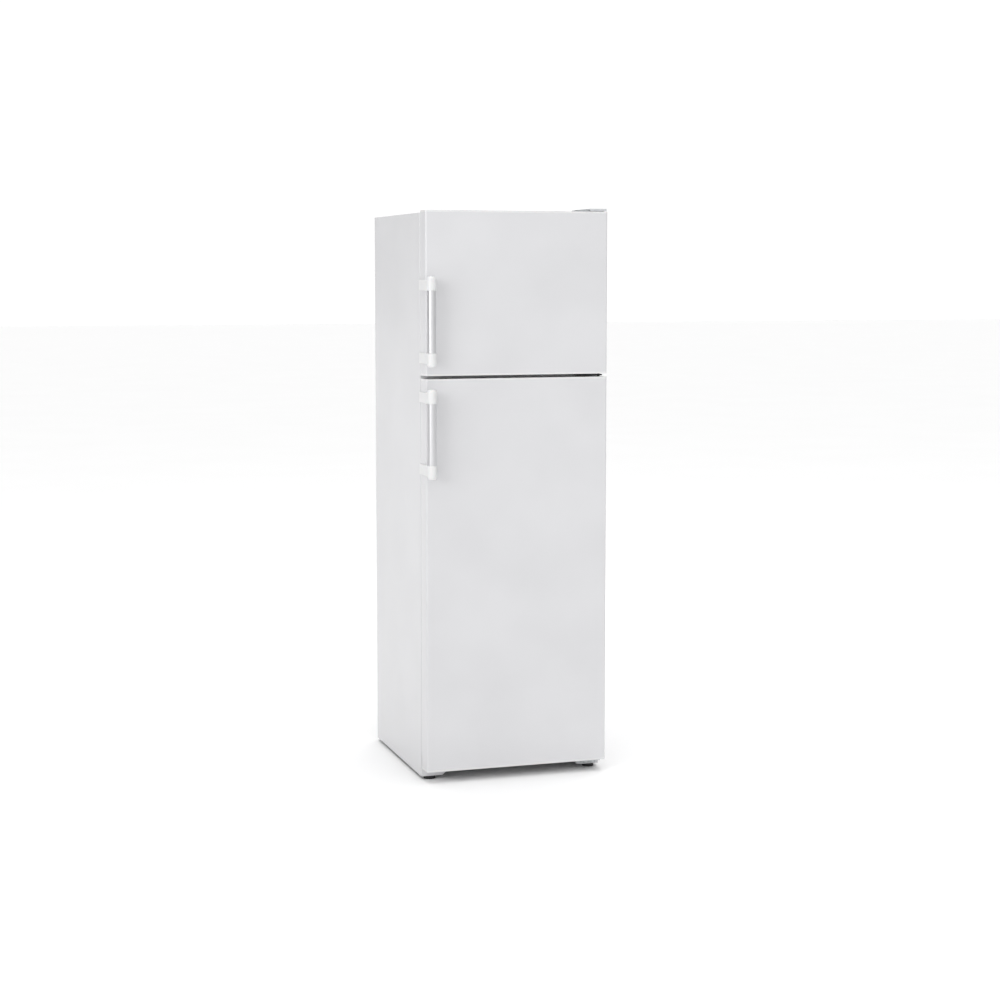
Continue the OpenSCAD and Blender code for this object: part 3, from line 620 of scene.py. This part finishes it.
def back_sheet_details():
    """Pressed stiffening beads and a row of screws on the back sheet."""
    low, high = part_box("rear_panel")
    coil_low, coil_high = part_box("condenser_coil")
    bead_inset, bead_half, bead_rise = 60 * MM, 7 * MM, 3 * MM
    bm = bmesh.new()
    for z in (coil_low.z - 22 * MM, coil_high.z + 24 * MM):
        rounded_box(bm, (low.x + bead_inset, high.y - 1 * MM, z - bead_half),
                    (high.x - bead_inset, high.y + bead_rise, z + bead_half), bead_rise)
    finish_mesh("back_sheet_beads", bm, "back_sheet", "cabinet")
    rows, screw_inset = 8, 16 * MM
    bm = bmesh.new()
    for x in (low.x + screw_inset, high.x - screw_inset):
        for k in range(rows):
            z = coil_low.z + (coil_high.z - coil_low.z) * k / (rows - 1)
            screw_head(bm, (x, high.y, z), 4.0 * MM, 2.0 * MM, "Y")
    finish_mesh("back_sheet_screws", bm, "zinc_steel", "cabinet")


def screw_head(bm, base, radius, height, axis, sign=1.0):
    """A pan head with a shallow dish in its middle, from shares of its radius and height."""
    shares = ((0.0, 0.0), (1.0, 0.0), (1.0, 0.35), (0.86, 0.8), (0.55, 1.0), (0.34, 1.0),
              (0.28, 0.45), (0.0, 0.4))
    lathe(bm, [(r * radius, h * height * sign) for r, h in shares], base, axis, 20)


def hinge_screws():
    """The same six screws as in the hinges, with real heads."""
    top_low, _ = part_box("top_hinge")
    low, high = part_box("hinge_screws")
    upper_head, lower_head = 2.4 * MM, 1.8 * MM
    bm = bmesh.new()
    for k in range(3):
        x = top_low.x + (18 + 26 * k) * MM
        screw_head(bm, (x, high.y - 5 * MM, high.z - upper_head), 5 * MM, upper_head, "Z")
    for k in range(3):
        x = low.x + (4 + 22 * k) * MM
        screw_head(bm, (x, low.y + lower_head, low.z + 4 * MM), 4 * MM, lower_head, "Y", -1.0)
    stand_for(bm, "hinge_screws")


# ---------------------------------------------------------------- liners

LINER_T = 1.5 * MM


def formed_tub(profile, half, flange, z_range):
    """A liner drawn into a mould: rounded inside corners, and a flat flange round the mouth.
    profile lists (y, z) points of the inside, from the mouth's lower edge to its upper edge."""
    bm = bmesh.new()
    left = [bm.verts.new((-half, y, z)) for y, z in profile]
    right = [bm.verts.new((half, y, z)) for y, z in profile]
    for i in range(len(profile) - 1):
        bm.faces.new((left[i], left[i + 1], right[i + 1], right[i]))
    bm.faces.new(left)
    bm.faces.new(right[::-1])
    bmesh.ops.recalc_face_normals(bm, faces=bm.faces)
    inner = [e for e in bm.edges if len(e.link_faces) == 2]
    bmesh.ops.bevel(bm, geom=inner, offset=11 * MM, segments=5, profile=0.5, affect="EDGES")
    mouth = [e for e in bm.edges if len(e.link_faces) == 1]
    edge_verts = {v for e in mouth for v in e.verts}
    middle = (z_range[0] + z_range[1]) / 2.0
    spread_x = (half + flange[0]) / half
    spread_z = (z_range[1] - middle + flange[1]) / (z_range[1] - middle)
    grown = {}
    for vert in edge_verts:
        z = middle + (vert.co.z - middle) * spread_z
        grown[vert] = bm.verts.new((vert.co.x * spread_x, vert.co.y, z))
    for edge in mouth:
        a, b = edge.verts
        bm.faces.new((a, b, grown[b], grown[a]))
    bmesh.ops.recalc_face_normals(bm, faces=bm.faces)
    # The floor's faces look up into the tub, so that the sheet thickens outward
    floor_z = z_range[0] + 2 * MM
    inward = sum((f.normal.z for f in bm.faces if f.calc_center_median().z < floor_z), 0.0)
    if inward < 0.0:
        bmesh.ops.reverse_faces(bm, faces=bm.faces)
    bmesh.ops.solidify(bm, geom=bm.faces, thickness=LINER_T)
    return bm


def shelf_ledges(bm, half, y0, y1, heights, reach):
    """Pairs of formed ledges on the side walls, under the shelves."""
    ledge_h, bite = 7 * MM, 0.5 * MM
    for z in heights:
        for side in (1.0, -1.0):
            a, b = sorted((half * side, (half - reach) * side))
            rounded_box(bm, (a - bite, y0, z - ledge_h), (b + bite, y1, z), 2.4 * MM)


def liners():
    """The fridge's tub with its hump over the machine space, and the freezer's plain tub."""
    low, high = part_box("fridge_liner")
    freezer_low, freezer_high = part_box("freezer_liner")
    flange, side_flange = 15 * MM, 22 * MM
    half = high.x - side_flange
    mouth_y, rear = low.y + LINER_T, high.y - LINER_T
    z0, z1 = low.z + flange, high.z - flange
    shelf_low, shelf_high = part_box("glass_shelves")
    cover_low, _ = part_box("crisper_cover")
    hump_z = cover_low.z - 20 * MM
    hump_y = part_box("right_crisper")[1].y + 10 * MM
    profile = [(mouth_y, z0), (hump_y, z0), (hump_y, hump_z), (rear, hump_z), (rear, z1), (mouth_y, z1)]
    bm = formed_tub(profile, half, (side_flange, flange), (z0, z1))
    # A ledge's top is a pane's underside less its edge strip
    strip, pane_t = 3 * MM, 4 * MM
    used_reach, spare_reach = 9 * MM, 6 * MM
    ledge_y = (shelf_low.y + 12 * MM, rear - 10 * MM)
    step = (shelf_high.z - pane_t - shelf_low.z) / 2.0
    used = [shelf_low.z - strip + step * k for k in range(3)] + [cover_low.z - strip]
    shelf_ledges(bm, half, *ledge_y, used, used_reach)
    spare = [shelf_low.z - strip + step * (k + 0.5) for k in range(-1, 2)]
    shelf_ledges(bm, half, *ledge_y, spare, spare_reach)
    stand_for(bm, "fridge_liner")
    z0, z1 = freezer_low.z + flange, freezer_high.z - flange
    profile = [(mouth_y, z0), (rear, z0), (rear, z1), (mouth_y, z1)]
    bm = formed_tub(profile, half, (side_flange, flange), (z0, z1))
    pane_low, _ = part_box("freezer_shelf")
    shelf_ledges(bm, half, *ledge_y, [pane_low.z - strip], used_reach)
    stand_for(bm, "freezer_liner")


# ---------------------------------------------------------------- doors

DOOR_OF = {"freezer_door_bin": "freezer", "upper_door_bin": "fridge",
           "middle_door_bin": "fridge", "bottle_bin": "fridge"}
# How far above a bin's floor the lugs that carry it stand
LUG_RISE = 22 * MM


def door(kind):
    """Steel skin, end caps, formed liner and gasket of one door."""
    low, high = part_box(kind + "_door_panel")
    fold = 6.0 * MM
    bm = bmesh.new()
    corners = [(low.x, high.y), (low.x, low.y), (high.x, low.y), (high.x, high.y)]
    bent_sheet(bm, corners, fold, SHEET, low.z, high.z, upright)
    stand_for(bm, kind + "_door_panel")
    soft_node(kind + "_door_caps", 0.9)
    door_liner(kind)
    gasket(kind)


def door_liner(kind):
    """Formed back of a door: a flat plate with a raised frame of rounded ridges, and lugs for the bins."""
    node = kind + "_door_liner"
    low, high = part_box(node)
    tub_low, tub_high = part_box(kind + "_liner")
    plate_y = low.y + LINER_T
    ridge_y = low.y + 0.2 * MM
    inset = 29 * MM
    z0, z1 = tub_low.z + inset, tub_high.z - inset
    out = tub_high.x - 34 * MM
    ridge_w, bar_h, bar_rise = 16 * MM, 12 * MM, 12 * MM
    bm = bmesh.new()
    rounded_box(bm, (low.x, low.y, low.z), (high.x, plate_y, high.z), 0.5 * MM, 2)
    for side in (1.0, -1.0):
        a, b = sorted((out * side, (out - ridge_w) * side))
        rounded_box(bm, (a, ridge_y, z0), (b, high.y, z1), 5 * MM, 4)
    reach = out - ridge_w + 4 * MM
    for a, b in ((z0, z0 + bar_h), (z1 - bar_h, z1)):
        rounded_box(bm, (-reach, ridge_y, a), (reach, plate_y + bar_rise, b), 4 * MM, 4)
    lug_out, lug_in, lug_h = 1 * MM, 3.8 * MM, 9 * MM
    for bin_node in [n for n, door_kind in DOOR_OF.items() if door_kind == kind]:
        lug_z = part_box(bin_node)[0].z + LUG_RISE
        for side in (1.0, -1.0):
            a, b = sorted(((out - ridge_w + lug_out) * side, (out - ridge_w - lug_in) * side))
            rounded_box(bm, (a, plate_y + 10 * MM, lug_z), (b, plate_y + 20 * MM, lug_z + lug_h), 1.2 * MM)
    # Shallow pads pressed into the plate, about one every 240 mm
    bottom, top = z0 + 30 * MM, z1 - 40 * MM
    pad_inset, pad_gap, pad_rise = 40 * MM, 24 * MM, 0.8 * MM
    count = max(1, round((top - bottom) / (240 * MM)))
    for k in range(count):
        a = bottom + (top - bottom) * k / count
        b = bottom + (top - bottom) * (k + 1) / count - pad_gap
        rounded_box(bm, (-reach + pad_inset, plate_y - 0.5 * MM, a),
                    (reach - pad_inset, plate_y + pad_rise, b), 0.6 * MM, 2)
    stand_for(bm, node)


def gasket(kind):
    """Bellows gasket: a magnet tube on a folded web, swept round the door with mitred corners."""
    node = kind + "_door_gasket"
    low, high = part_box(node)
    depth, width = high.y - low.y, 18 * MM
    # Across the section: outward from the inner edge, and forward from the door
    section = [(0.0, 0.0), (0.16, 0.0), (0.2, 0.32), (0.1, 0.48), (0.04, 0.62), (0.08, 0.95), (0.16, 1.0),
               (0.84, 1.0), (0.92, 0.95), (0.96, 0.62), (0.9, 0.5), (0.78, 0.44), (0.84, 0.3), (0.98, 0.22),
               (1.0, 0.05), (0.95, 0.0), (0.5, 0.0), (0.5, 0.05)]
    rings = []
    for sx, sz in ((1, 1), (-1, 1), (-1, -1), (1, -1)):
        ring = []
        for across, forward in section:
            inset = (1.0 - across) * width
            z = (high.z - inset) if sz > 0 else (low.z + inset)
            ring.append(Vector(((high.x - inset) * sx, low.y + forward * depth, z)))
        rings.append(ring)
    bm = bmesh.new()
    loop_round(bm, rings)
    stand_for(bm, node)


def handle(kind):
    """Grip ends with a domed round front and a cavity for the bracket, and the handle's other parts."""
    low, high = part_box(kind + "_handle_ends")
    mount_low, mount_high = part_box(kind + "_handle_mounts")
    radius = (high.x - low.x) / 2.0
    centre = Vector(((low.x + high.x) / 2.0, low.y + radius, 0.0))
    grip_h, dome, dome_steps, skirt = 44 * MM, 10 * MM, 9, 6 * MM
    left_rear = mount_low.y + 14.7 * MM
    block = bmesh.new()
    front = bmesh.new()
    for outer_z, up in ((low.z, -1.0), (high.z, 1.0)):
        shoulder, inner_z = outer_z - up * dome, outer_z - up * grip_h
        outline = [(high.x, high.y), (high.x, centre.y), (low.x, centre.y), (low.x, left_rear),
                   (low.x + skirt, left_rear), (low.x + skirt, high.y)]
        top = loft(block, [[Vector((x, y, z)) for x, y in outline] for z in (inner_z, shoulder)])[1]
        rim = [block.edges.get((top[k], top[(k + 1) % len(top)])) for k in (2, 3, 5)]
        bmesh.ops.bevel(block, geom=rim, offset=1.6 * MM, segments=3, profile=0.5, affect="EDGES")
        profile = [(0.0, inner_z), (radius - 1.2 * MM, inner_z),
                   (radius - 0.4 * MM, inner_z + up * 0.4 * MM), (radius, inner_z + up * 1.2 * MM),
                   (radius, shoulder)]
        for k in range(1, dome_steps):
            turn = math.radians(90.0 * k / dome_steps)
            profile.append((radius - dome * (1.0 - math.cos(turn)), shoulder + up * dome * math.sin(turn)))
        profile += [(radius - dome, outer_z), (0.0, outer_z)]
        lathe(front, profile, centre, "Z", 64)
    cavity_half, bracket_h = 14.4 * MM, 32 * MM
    for bm in (block, front):
        for z in (mount_low.z + bracket_h / 2.0, mount_high.z - bracket_h / 2.0):
            hollow(bm, (low.x + 2 * MM, high.y - 25.6 * MM, z - cavity_half),
                   (high.x - 2.5 * MM, high.y + 2 * MM, z + cavity_half))
    join(block, front)
    stand_for(block, kind + "_handle_ends")
    soft_node(kind + "_handle_mounts", 0.8)
    soft_node(kind + "_handle_plungers", 0.5)
    grip_tube(kind)


def grip_tube(kind):
    """Tube with softly turned ends, and the spigots that hold it in the end pieces."""
    low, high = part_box(kind + "_handle_tube")
    radius, spigot, spigot_l = (high.x - low.x) / 2.0, 7 * MM, 20 * MM
    a, b = low.z + spigot_l, high.z - spigot_l
    fine, soft, round_off = 0.2 * MM, 0.5 * MM, 0.8 * MM
    lower = [(0.0, low.z), (spigot - soft, low.z), (spigot, low.z + soft), (spigot, a - fine), (spigot, a),
             (radius - round_off, a), (radius - fine, a + fine), (radius, a + round_off)]
    upper = [(radius, b - round_off), (radius - fine, b - fine), (radius - round_off, b), (spigot, b),
             (spigot, b + fine), (spigot, high.z - soft), (spigot - soft, high.z), (0.0, high.z)]
    bm = bmesh.new()
    lathe(bm, lower + upper, middle_of(low, high, z=0.0), "Z", 64)
    stand_for(bm, kind + "_handle_tube")


# ---------------------------------------------------------------- interior

def moulded_tray(bm, low, high, wall, radius, draft, lip):
    """An open tray: drafted walls, rounded corners, a rolled lip and a floor with a soft inner edge."""
    x0, y0, z0 = low
    x1, y1, z1 = high
    inside = draft + wall
    outer = [(draft + 3 * MM, z0), (draft + 0.8 * MM, z0 + 0.8 * MM), (draft, z0 + 3 * MM),
             (lip + 0.2 * MM, z1 - 7 * MM), (lip, z1 - 6 * MM)]
    rolled = [(0.4 * MM, z1 - 5.4 * MM), (0.0, z1 - 4.6 * MM), (0.0, z1 - 1.2 * MM),
              (0.6 * MM, z1 - 0.2 * MM), (1.4 * MM, z1), (lip + wall - 0.6 * MM, z1),
              (lip + wall, z1 - 0.8 * MM)]
    inner = [(inside, z0 + wall + 4 * MM), (inside + 1.2 * MM, z0 + wall + 1.2 * MM),
             (inside + 4 * MM, z0 + wall)]
    rings = []
    for inset, z in outer + rolled + inner:
        corner = max(radius - inset, 1.5 * MM)
        rings.append(round_rectangle(x0 + inset, x1 - inset, y0 + inset, y1 - inset, z, corner))
    loft(bm, rings)


def floor_ribs(bm, low, high, count, half_w, ends, top, radius):
    """Ribs across a tray's floor."""
    for k in range(count):
        x = low.x + (high.x - low.x) * (k + 1) / (count + 1.0)
        rounded_box(bm, (x - half_w, low.y + ends[0], low.z + 2 * MM),
                    (x + half_w, high.y - ends[1], low.z + top), radius, 2)


def door_bins():
    """Bins with a rail along the face, and a hook at each end that drops over its lug."""
    hook, hook_bite, hook_bar = 3.7 * MM, 3.6 * MM, 4.5 * MM
    for node in DOOR_OF:
        low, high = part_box(node)
        bm = bmesh.new()
        moulded_tray(bm, (low.x + hook, low.y, low.z), (high.x - hook, high.y, high.z),
                     2.4 * MM, 14 * MM, 3 * MM, 1.8 * MM)
        hook_y0, hook_y1 = low.y + 4 * MM, low.y + 24 * MM
        lug_z = low.z + LUG_RISE
        hook_top = lug_z + 15 * MM
        for side in (1.0, -1.0):
            a, b = sorted((high.x * side, (high.x - hook - hook_bite) * side))
            rounded_box(bm, (a, hook_y0, lug_z + 9.2 * MM), (b, hook_y1, hook_top), 1.2 * MM)
            for y in (hook_y0, hook_y1 - hook_bar):
                rounded_box(bm, (a, y, lug_z - 6 * MM), (b, y + hook_bar, hook_top), 1.2 * MM)
        floor_ribs(bm, low, high, 7, 1 * MM, (12 * MM, 12 * MM), 3.4 * MM, 0.6 * MM)
        rail_inset = 22 * MM
        rounded_box(bm, (low.x + rail_inset, high.y - 4.4 * MM, high.z - 26 * MM),
                    (high.x - rail_inset, high.y - 1.2 * MM, high.z - 14 * MM), 1.2 * MM)
        stand_for(bm, node)


def crispers():
    """Drawers with a front shield, a finger grip and ribs across the floor."""
    for side in ("left", "right"):
        low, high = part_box(side + "_crisper")
        bm = bmesh.new()
        moulded_tray(bm, low, high, 2.5 * MM, 12 * MM, 4 * MM, 3.5 * MM)
        middle = (low.x + high.x) / 2.0
        shield_inset, grip_half = 6 * MM, 60 * MM
        rounded_box(bm, (low.x + shield_inset, low.y + 0.4 * MM, high.z - 58 * MM),
                    (high.x - shield_inset, low.y + 5.2 * MM, high.z - shield_inset), 2 * MM)
        rounded_box(bm, (middle - grip_half, low.y + 0.1 * MM, high.z - 26 * MM),
                    (middle + grip_half, low.y + 3 * MM, high.z - 20 * MM), 1.3 * MM)
        floor_ribs(bm, low, high, 6, 1.2 * MM, (22 * MM, 20 * MM), 3.8 * MM, 0.7 * MM)
        stand_for(bm, side + "_crisper")


def knob():
    """Thermostat knob: fluted rim, raised pointer and a shaft."""
    low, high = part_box("thermostat_knob")
    radius = (high.x - low.x) / 2.0
    centre = middle_of(low, high, y=low.y)
    face, depth, shaft, shaft_l = 3 * MM, 17 * MM, 3 * MM, 18 * MM
    bm = bmesh.new()
    rows = ((0.80, face), (0.93, face + 0.5 * MM), (1.0, face + 2 * MM), (1.0, depth - 1 * MM),
            (0.96, depth))
    fluted(bm, rows, radius, 0.5 * MM, centre, "Y", 120)
    root, tip = depth - 2 * MM, depth + shaft_l
    lathe(bm, [(0, root), (shaft, root), (shaft, tip), (0, tip)], centre, "Y", 32)
    pointer = Vector((2 * MM, face + 1 * MM, 0.86 * radius))
    rounded_box(bm, centre - Vector((pointer.x, 0, pointer.z)), centre + pointer, 1.2 * MM)
    stand_for(bm, "thermostat_knob")


def interior():
    """Everything that stands in the two compartments and on the doors' backs."""
    soft_node("shelf_trims", 1.8, 3)
    for node in ("glass_shelves", "crisper_cover", "freezer_shelf"):
        soft_node(node, 0.8)
    soft_node("control_housing", 4.0, 4)
    soft_node("lamp_cover", 1.6, 3)
    knob()
    door_bins()
    crispers()


# ---------------------------------------------------------------- machine space

def compressor():
    """Hermetic pot: two drawn half-shells, a rolled weld seam, a foot plate and stubs."""
    low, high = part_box("compressor")
    plate_t = 4 * MM
    middle = middle_of(low, high, z=low.z + plate_t)
    r, h = 72 * MM, high.z - low.z - plate_t
    neck = r - 4 * MM
    seam, shoulder = h * 0.45, h * 0.66
    profile = [(0, 0), (r - 22 * MM, 0), (r - 9 * MM, 3 * MM), (r - 2 * MM, 11 * MM), (r, 22 * MM),
               (r, seam - 2 * MM), (r + 3.4 * MM, seam - 1 * MM), (r + 4 * MM, seam + 2 * MM),
               (r + 3.4 * MM, seam + 4 * MM), (neck, seam + 5 * MM), (neck, shoulder)]
    dome_steps = 10
    for k in range(1, dome_steps):
        a = math.pi / 2.0 * k / dome_steps
        profile.append((neck * (0.30 + 0.70 * math.cos(a)), shoulder + h * 0.34 * math.sin(a)))
    profile.append((0.0, h))
    bm = bmesh.new()
    lathe(bm, profile, middle, "Z", 72)
    rounded_box(bm, (low.x, low.y + 14 * MM, low.z), (high.x, high.y - 14 * MM, low.z + plate_t), 1.6 * MM)
    stub, stub_half, ring = 4 * MM, 6 * MM, r - 3 * MM
    for k in range(3):
        a = math.radians(-150 + 24 * k)
        spot = middle + Vector((ring * math.cos(a), ring * math.sin(a), h * 0.25))
        lathe(bm, [(0, -stub_half), (stub, -stub_half), (stub, stub_half), (0, stub_half)], spot, "Z", 20)
    stand_for(bm, "compressor")


def rubber_mounts():
    """Four waisted rubber feet under the compressor's plate."""
    low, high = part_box("compressor_mounts")
    r, h = 10 * MM, high.z - low.z
    waist = r * 0.72
    profile = [(0, 0), (r, 0), (r, h * 0.3), (waist, h * 0.42), (waist, h * 0.58), (r, h * 0.7),
               (r, h), (0, h)]
    bm = bmesh.new()
    for x in (low.x + r, high.x - r):
        for y in (low.y + r, high.y - r):
            lathe(bm, profile, (x, y, low.z), "Z", 32)
    stand_for(bm, "compressor_mounts")


def condenser():
    """The grid of wires on both sides of the serpentine, closer than in the frame, with its hooks."""
    low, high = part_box("condenser_wires")
    coil_low, coil_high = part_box("condenser_coil")
    wire, tip, count = 0.8 * MM, 0.4 * MM, 47
    profile = [(0, low.z), (wire * 0.7, low.z), (wire, low.z + tip), (wire, high.z - tip),
               (wire * 0.7, high.z), (0, high.z)]
    bm = bmesh.new()
    for k in range(count):
        x = low.x + 1.5 * MM + (high.x - low.x - 3 * MM) * k / (count - 1)
        y = coil_high.y + wire if k % 2 else coil_low.y - wire
        lathe(bm, profile, (x, y, 0.0), "Z", 8)
    hook_inset, hook_half, hook_h = 6 * MM, 1.5 * MM, 14 * MM
    for x in (low.x + hook_inset, high.x - hook_inset):
        for z in (coil_low.z + 20 * MM, coil_high.z - 34 * MM):
            rounded_box(bm, (x - hook_half, low.y, z),
                        (x + hook_half, coil_high.y, z + hook_h), 0.8 * MM, 2)
    stand_for(bm, "condenser_wires")


def pan_and_small_parts():
    """Drain pan, relay box, cord gland and the spun copper drier."""
    low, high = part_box("drain_pan")
    bm = bmesh.new()
    moulded_tray(bm, low, high, 2.8 * MM, 16 * MM, 3 * MM, 1.6 * MM)
    stand_for(bm, "drain_pan")
    soft_node("relay_box", 3.0, 3)
    soft_node("cord_inlet", 1.5, 3)
    low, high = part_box("filter_drier")
    r, h = (high.x - low.x) / 2.0, high.z - low.z
    neck, neck_l, cone, full = 3 * MM, 10 * MM, 14 * MM, 24 * MM
    profile = [(0, 0), (neck, 0), (neck, neck_l), (r * 0.6, cone), (r, full), (r, h - full),
               (r * 0.6, h - cone), (neck, h - neck_l), (neck, h), (0, h)]
    bm = bmesh.new()
    lathe(bm, profile, middle_of(low, high, z=low.z), "Z", 32)
    stand_for(bm, "filter_drier")


# ---------------------------------------------------------------- feet

def feet():
    """Moulded levelling feet with a grip of flutes round the disc and a steel thread."""
    thread_r, root_r, crest, turns = 5.0 * MM, 4.3 * MM, 0.7 * MM, 14
    disc_top = 16 * MM
    rows = ((0.90, 0.0), (0.97, 0.5 * MM), (1.0, 2 * MM), (1.0, 6.2 * MM), (0.95, 7.8 * MM),
            (0.45, 9 * MM), (0.42, disc_top))
    for side in ("left", "right"):
        node = "front_" + side + "_foot"
        low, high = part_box(node)
        centre = middle_of(low, high, z=0.0)
        bm = bmesh.new()
        fluted(bm, rows, (high.x - low.x) / 2.0, 0.6 * MM, centre, "Z", 144)
        profile = [(0, disc_top - 1 * MM)]
        for k in range(turns):
            z = disc_top + (high.z - disc_top - 1 * MM) * k / turns
            profile += [(thread_r, z), (root_r, z + crest)]
        profile.append((0, high.z))
        lathe(bm, profile, centre, "Z", 32)
        stand_for(bm, node)


def rollers():
    """Moulded rollers with a bore, a dished web and a softened tread."""
    bore, dish, sides = 3.05 * MM, 1.6 * MM, 72
    for side in ("left", "right"):
        node = "rear_" + side + "_roller"
        low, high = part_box(node)
        r, w = (high.z - low.z) / 2.0, high.x - low.x
        centre = middle_of(low, high, x=low.x)
        section = [(bore, 0.0), (r * 0.5, 0.0), (r * 0.58, dish), (r * 0.78, dish), (r * 0.86, 0.0),
                   (r * 0.96, 0.0), (r, 1.2 * MM)]
        section += [(radius, w - along) for radius, along in reversed(section)]
        rings = []
        for k in range(sides):
            a = math.tau * k / sides
            rings.append([on_axis(q * math.cos(a), q * math.sin(a), along, centre, "X")
                          for q, along in section])
        bm = bmesh.new()
        loop_round(bm, rings)
        stand_for(bm, node)


# ---------------------------------------------------------------- studio

# How bright the room is, and what is added toward each direction: dim right and left walls, bright ceiling
ROOM_LEVEL = 0.99
ROOM_WALLS = (((0.94, -0.34, 0.0), -0.62), ((-0.92, 0.39, 0.0), -0.93), ((0.0, 0.0, 1.0), 0.35))
SEEN_LEVEL = 1.05
FLOOR_HALF = 60.0


def area_light(name, place, aim, size, power, spread_degrees):
    """A soft box at place that faces aim, with a grid that narrows its spread."""
    data = bpy.data.lights.new(name, "AREA")
    data.shape = "RECTANGLE"
    data.size, data.size_y = size
    data.energy = power
    data.spread = math.radians(spread_degrees)
    light = bpy.data.objects.new(name, data)
    light.location = place
    light.rotation_mode = "QUATERNION"
    light.rotation_quaternion = (Vector(place) - Vector(aim)).to_track_quat("Z", "Y")
    bpy.context.scene.collection.objects.link(light)


def room_wall(tree, aim, direction, change):
    """How much brighter or dimmer the room is toward one direction."""
    toward = add(tree, "ShaderNodeVectorMath", {0: aim, 1: direction}, operation="DOT_PRODUCT")
    reach = {"Value": toward.outputs["Value"], "From Min": 0.35, "From Max": 0.9, "To Max": change}
    return add(tree, "ShaderNodeMapRange", reach, interpolation_type="SMOOTHSTEP").outputs["Result"]


def studio_floor():
    """A wide pale floor just under the feet."""
    material, tree, surface, place = start("pale_studio_floor", Specular_IOR_Level=0.1)
    mottle = noise(tree, place, 900.0, 2.0)
    two_tones(tree, surface, mottle, "FDFDFD", "FEFEFE")
    vary_roughness(tree, surface, mottle, 0.7, 0.8)
    bm = bmesh.new()
    bmesh.ops.create_grid(bm, x_segments=2, y_segments=2, size=FLOOR_HALF)
    mesh = bpy.data.meshes.new("floor")
    bm.to_mesh(mesh)
    bm.free()
    mesh.materials.append(material)
    floor = bpy.data.objects.new("floor", mesh)
    floor.location.z = -0.2 * MM
    bpy.context.scene.collection.objects.link(floor)


def studio():
    """A white room that is dimmer to both sides, with a soft box at the left and one over the floor."""
    world = bpy.data.worlds.new("studio")
    world.use_nodes = True
    tree = world.node_tree
    background = tree.nodes["Background"]
    aim = add(tree, "ShaderNodeTexCoord").outputs["Generated"]
    level = ROOM_LEVEL
    for direction, change in ROOM_WALLS:
        wall = room_wall(tree, aim, direction, change)
        level = add(tree, "ShaderNodeMath", {0: wall, 1: level}).outputs["Value"]
    # The room is white where it is seen directly, and shades only what it lights
    seen = add(tree, "ShaderNodeLightPath").outputs["Is Camera Ray"]
    shown = add(tree, "ShaderNodeMix", {"Factor": seen, "A": level, "B": SEEN_LEVEL}, data_type="FLOAT")
    tree.links.new(shown.outputs["Result"], background.inputs["Color"])
    background.inputs["Strength"].default_value = 1.0
    bpy.context.scene.world = world
    area_light("key_box", (-4.1, -2.2, 2.6), (0.0, 0.0, 1.7), (3.0, 2.4), 11.5, 62.0)
    area_light("floor_box", (0.0, 0.0, 7.0), (0.0, 0.0, 0.0), (6.0, 6.0), 95.0, 180.0)
    bpy.context.scene.view_settings.view_transform = "Standard"


# ---------------------------------------------------------------- build

# Sheet and moulded nodes that keep their CAD shape, with the radius of their edges in mm
SOFT_EDGES = {"top_panel": 0.4, "rear_panel": 0.4, "base_plinth": 1.1, "base_frame": 0.7,
              "divider_rail": 0.5, "top_hinge": 0.9, "hinge_cover": 1.6, "middle_hinge": 0.9,
              "bottom_hinge": 0.9, "compressor_tray": 0.7}

place_camera()
studio_floor()
studio()
for node_name, node_object in frame["nodes"].items():
    node_object.data.materials.clear()
    node_object.data.materials.append(FINISHES[SLOT_OF[node_name]])
side_panels()
for plain_node, edge_mm in SOFT_EDGES.items():
    soft_node(plain_node, edge_mm)
back_sheet_details()
hinge_screws()
liners()
for door_kind in ("freezer", "fridge"):
    door(door_kind)
    handle(door_kind)
interior()
compressor()
rubber_mounts()
condenser()
pan_and_small_parts()
feet()
rollers()
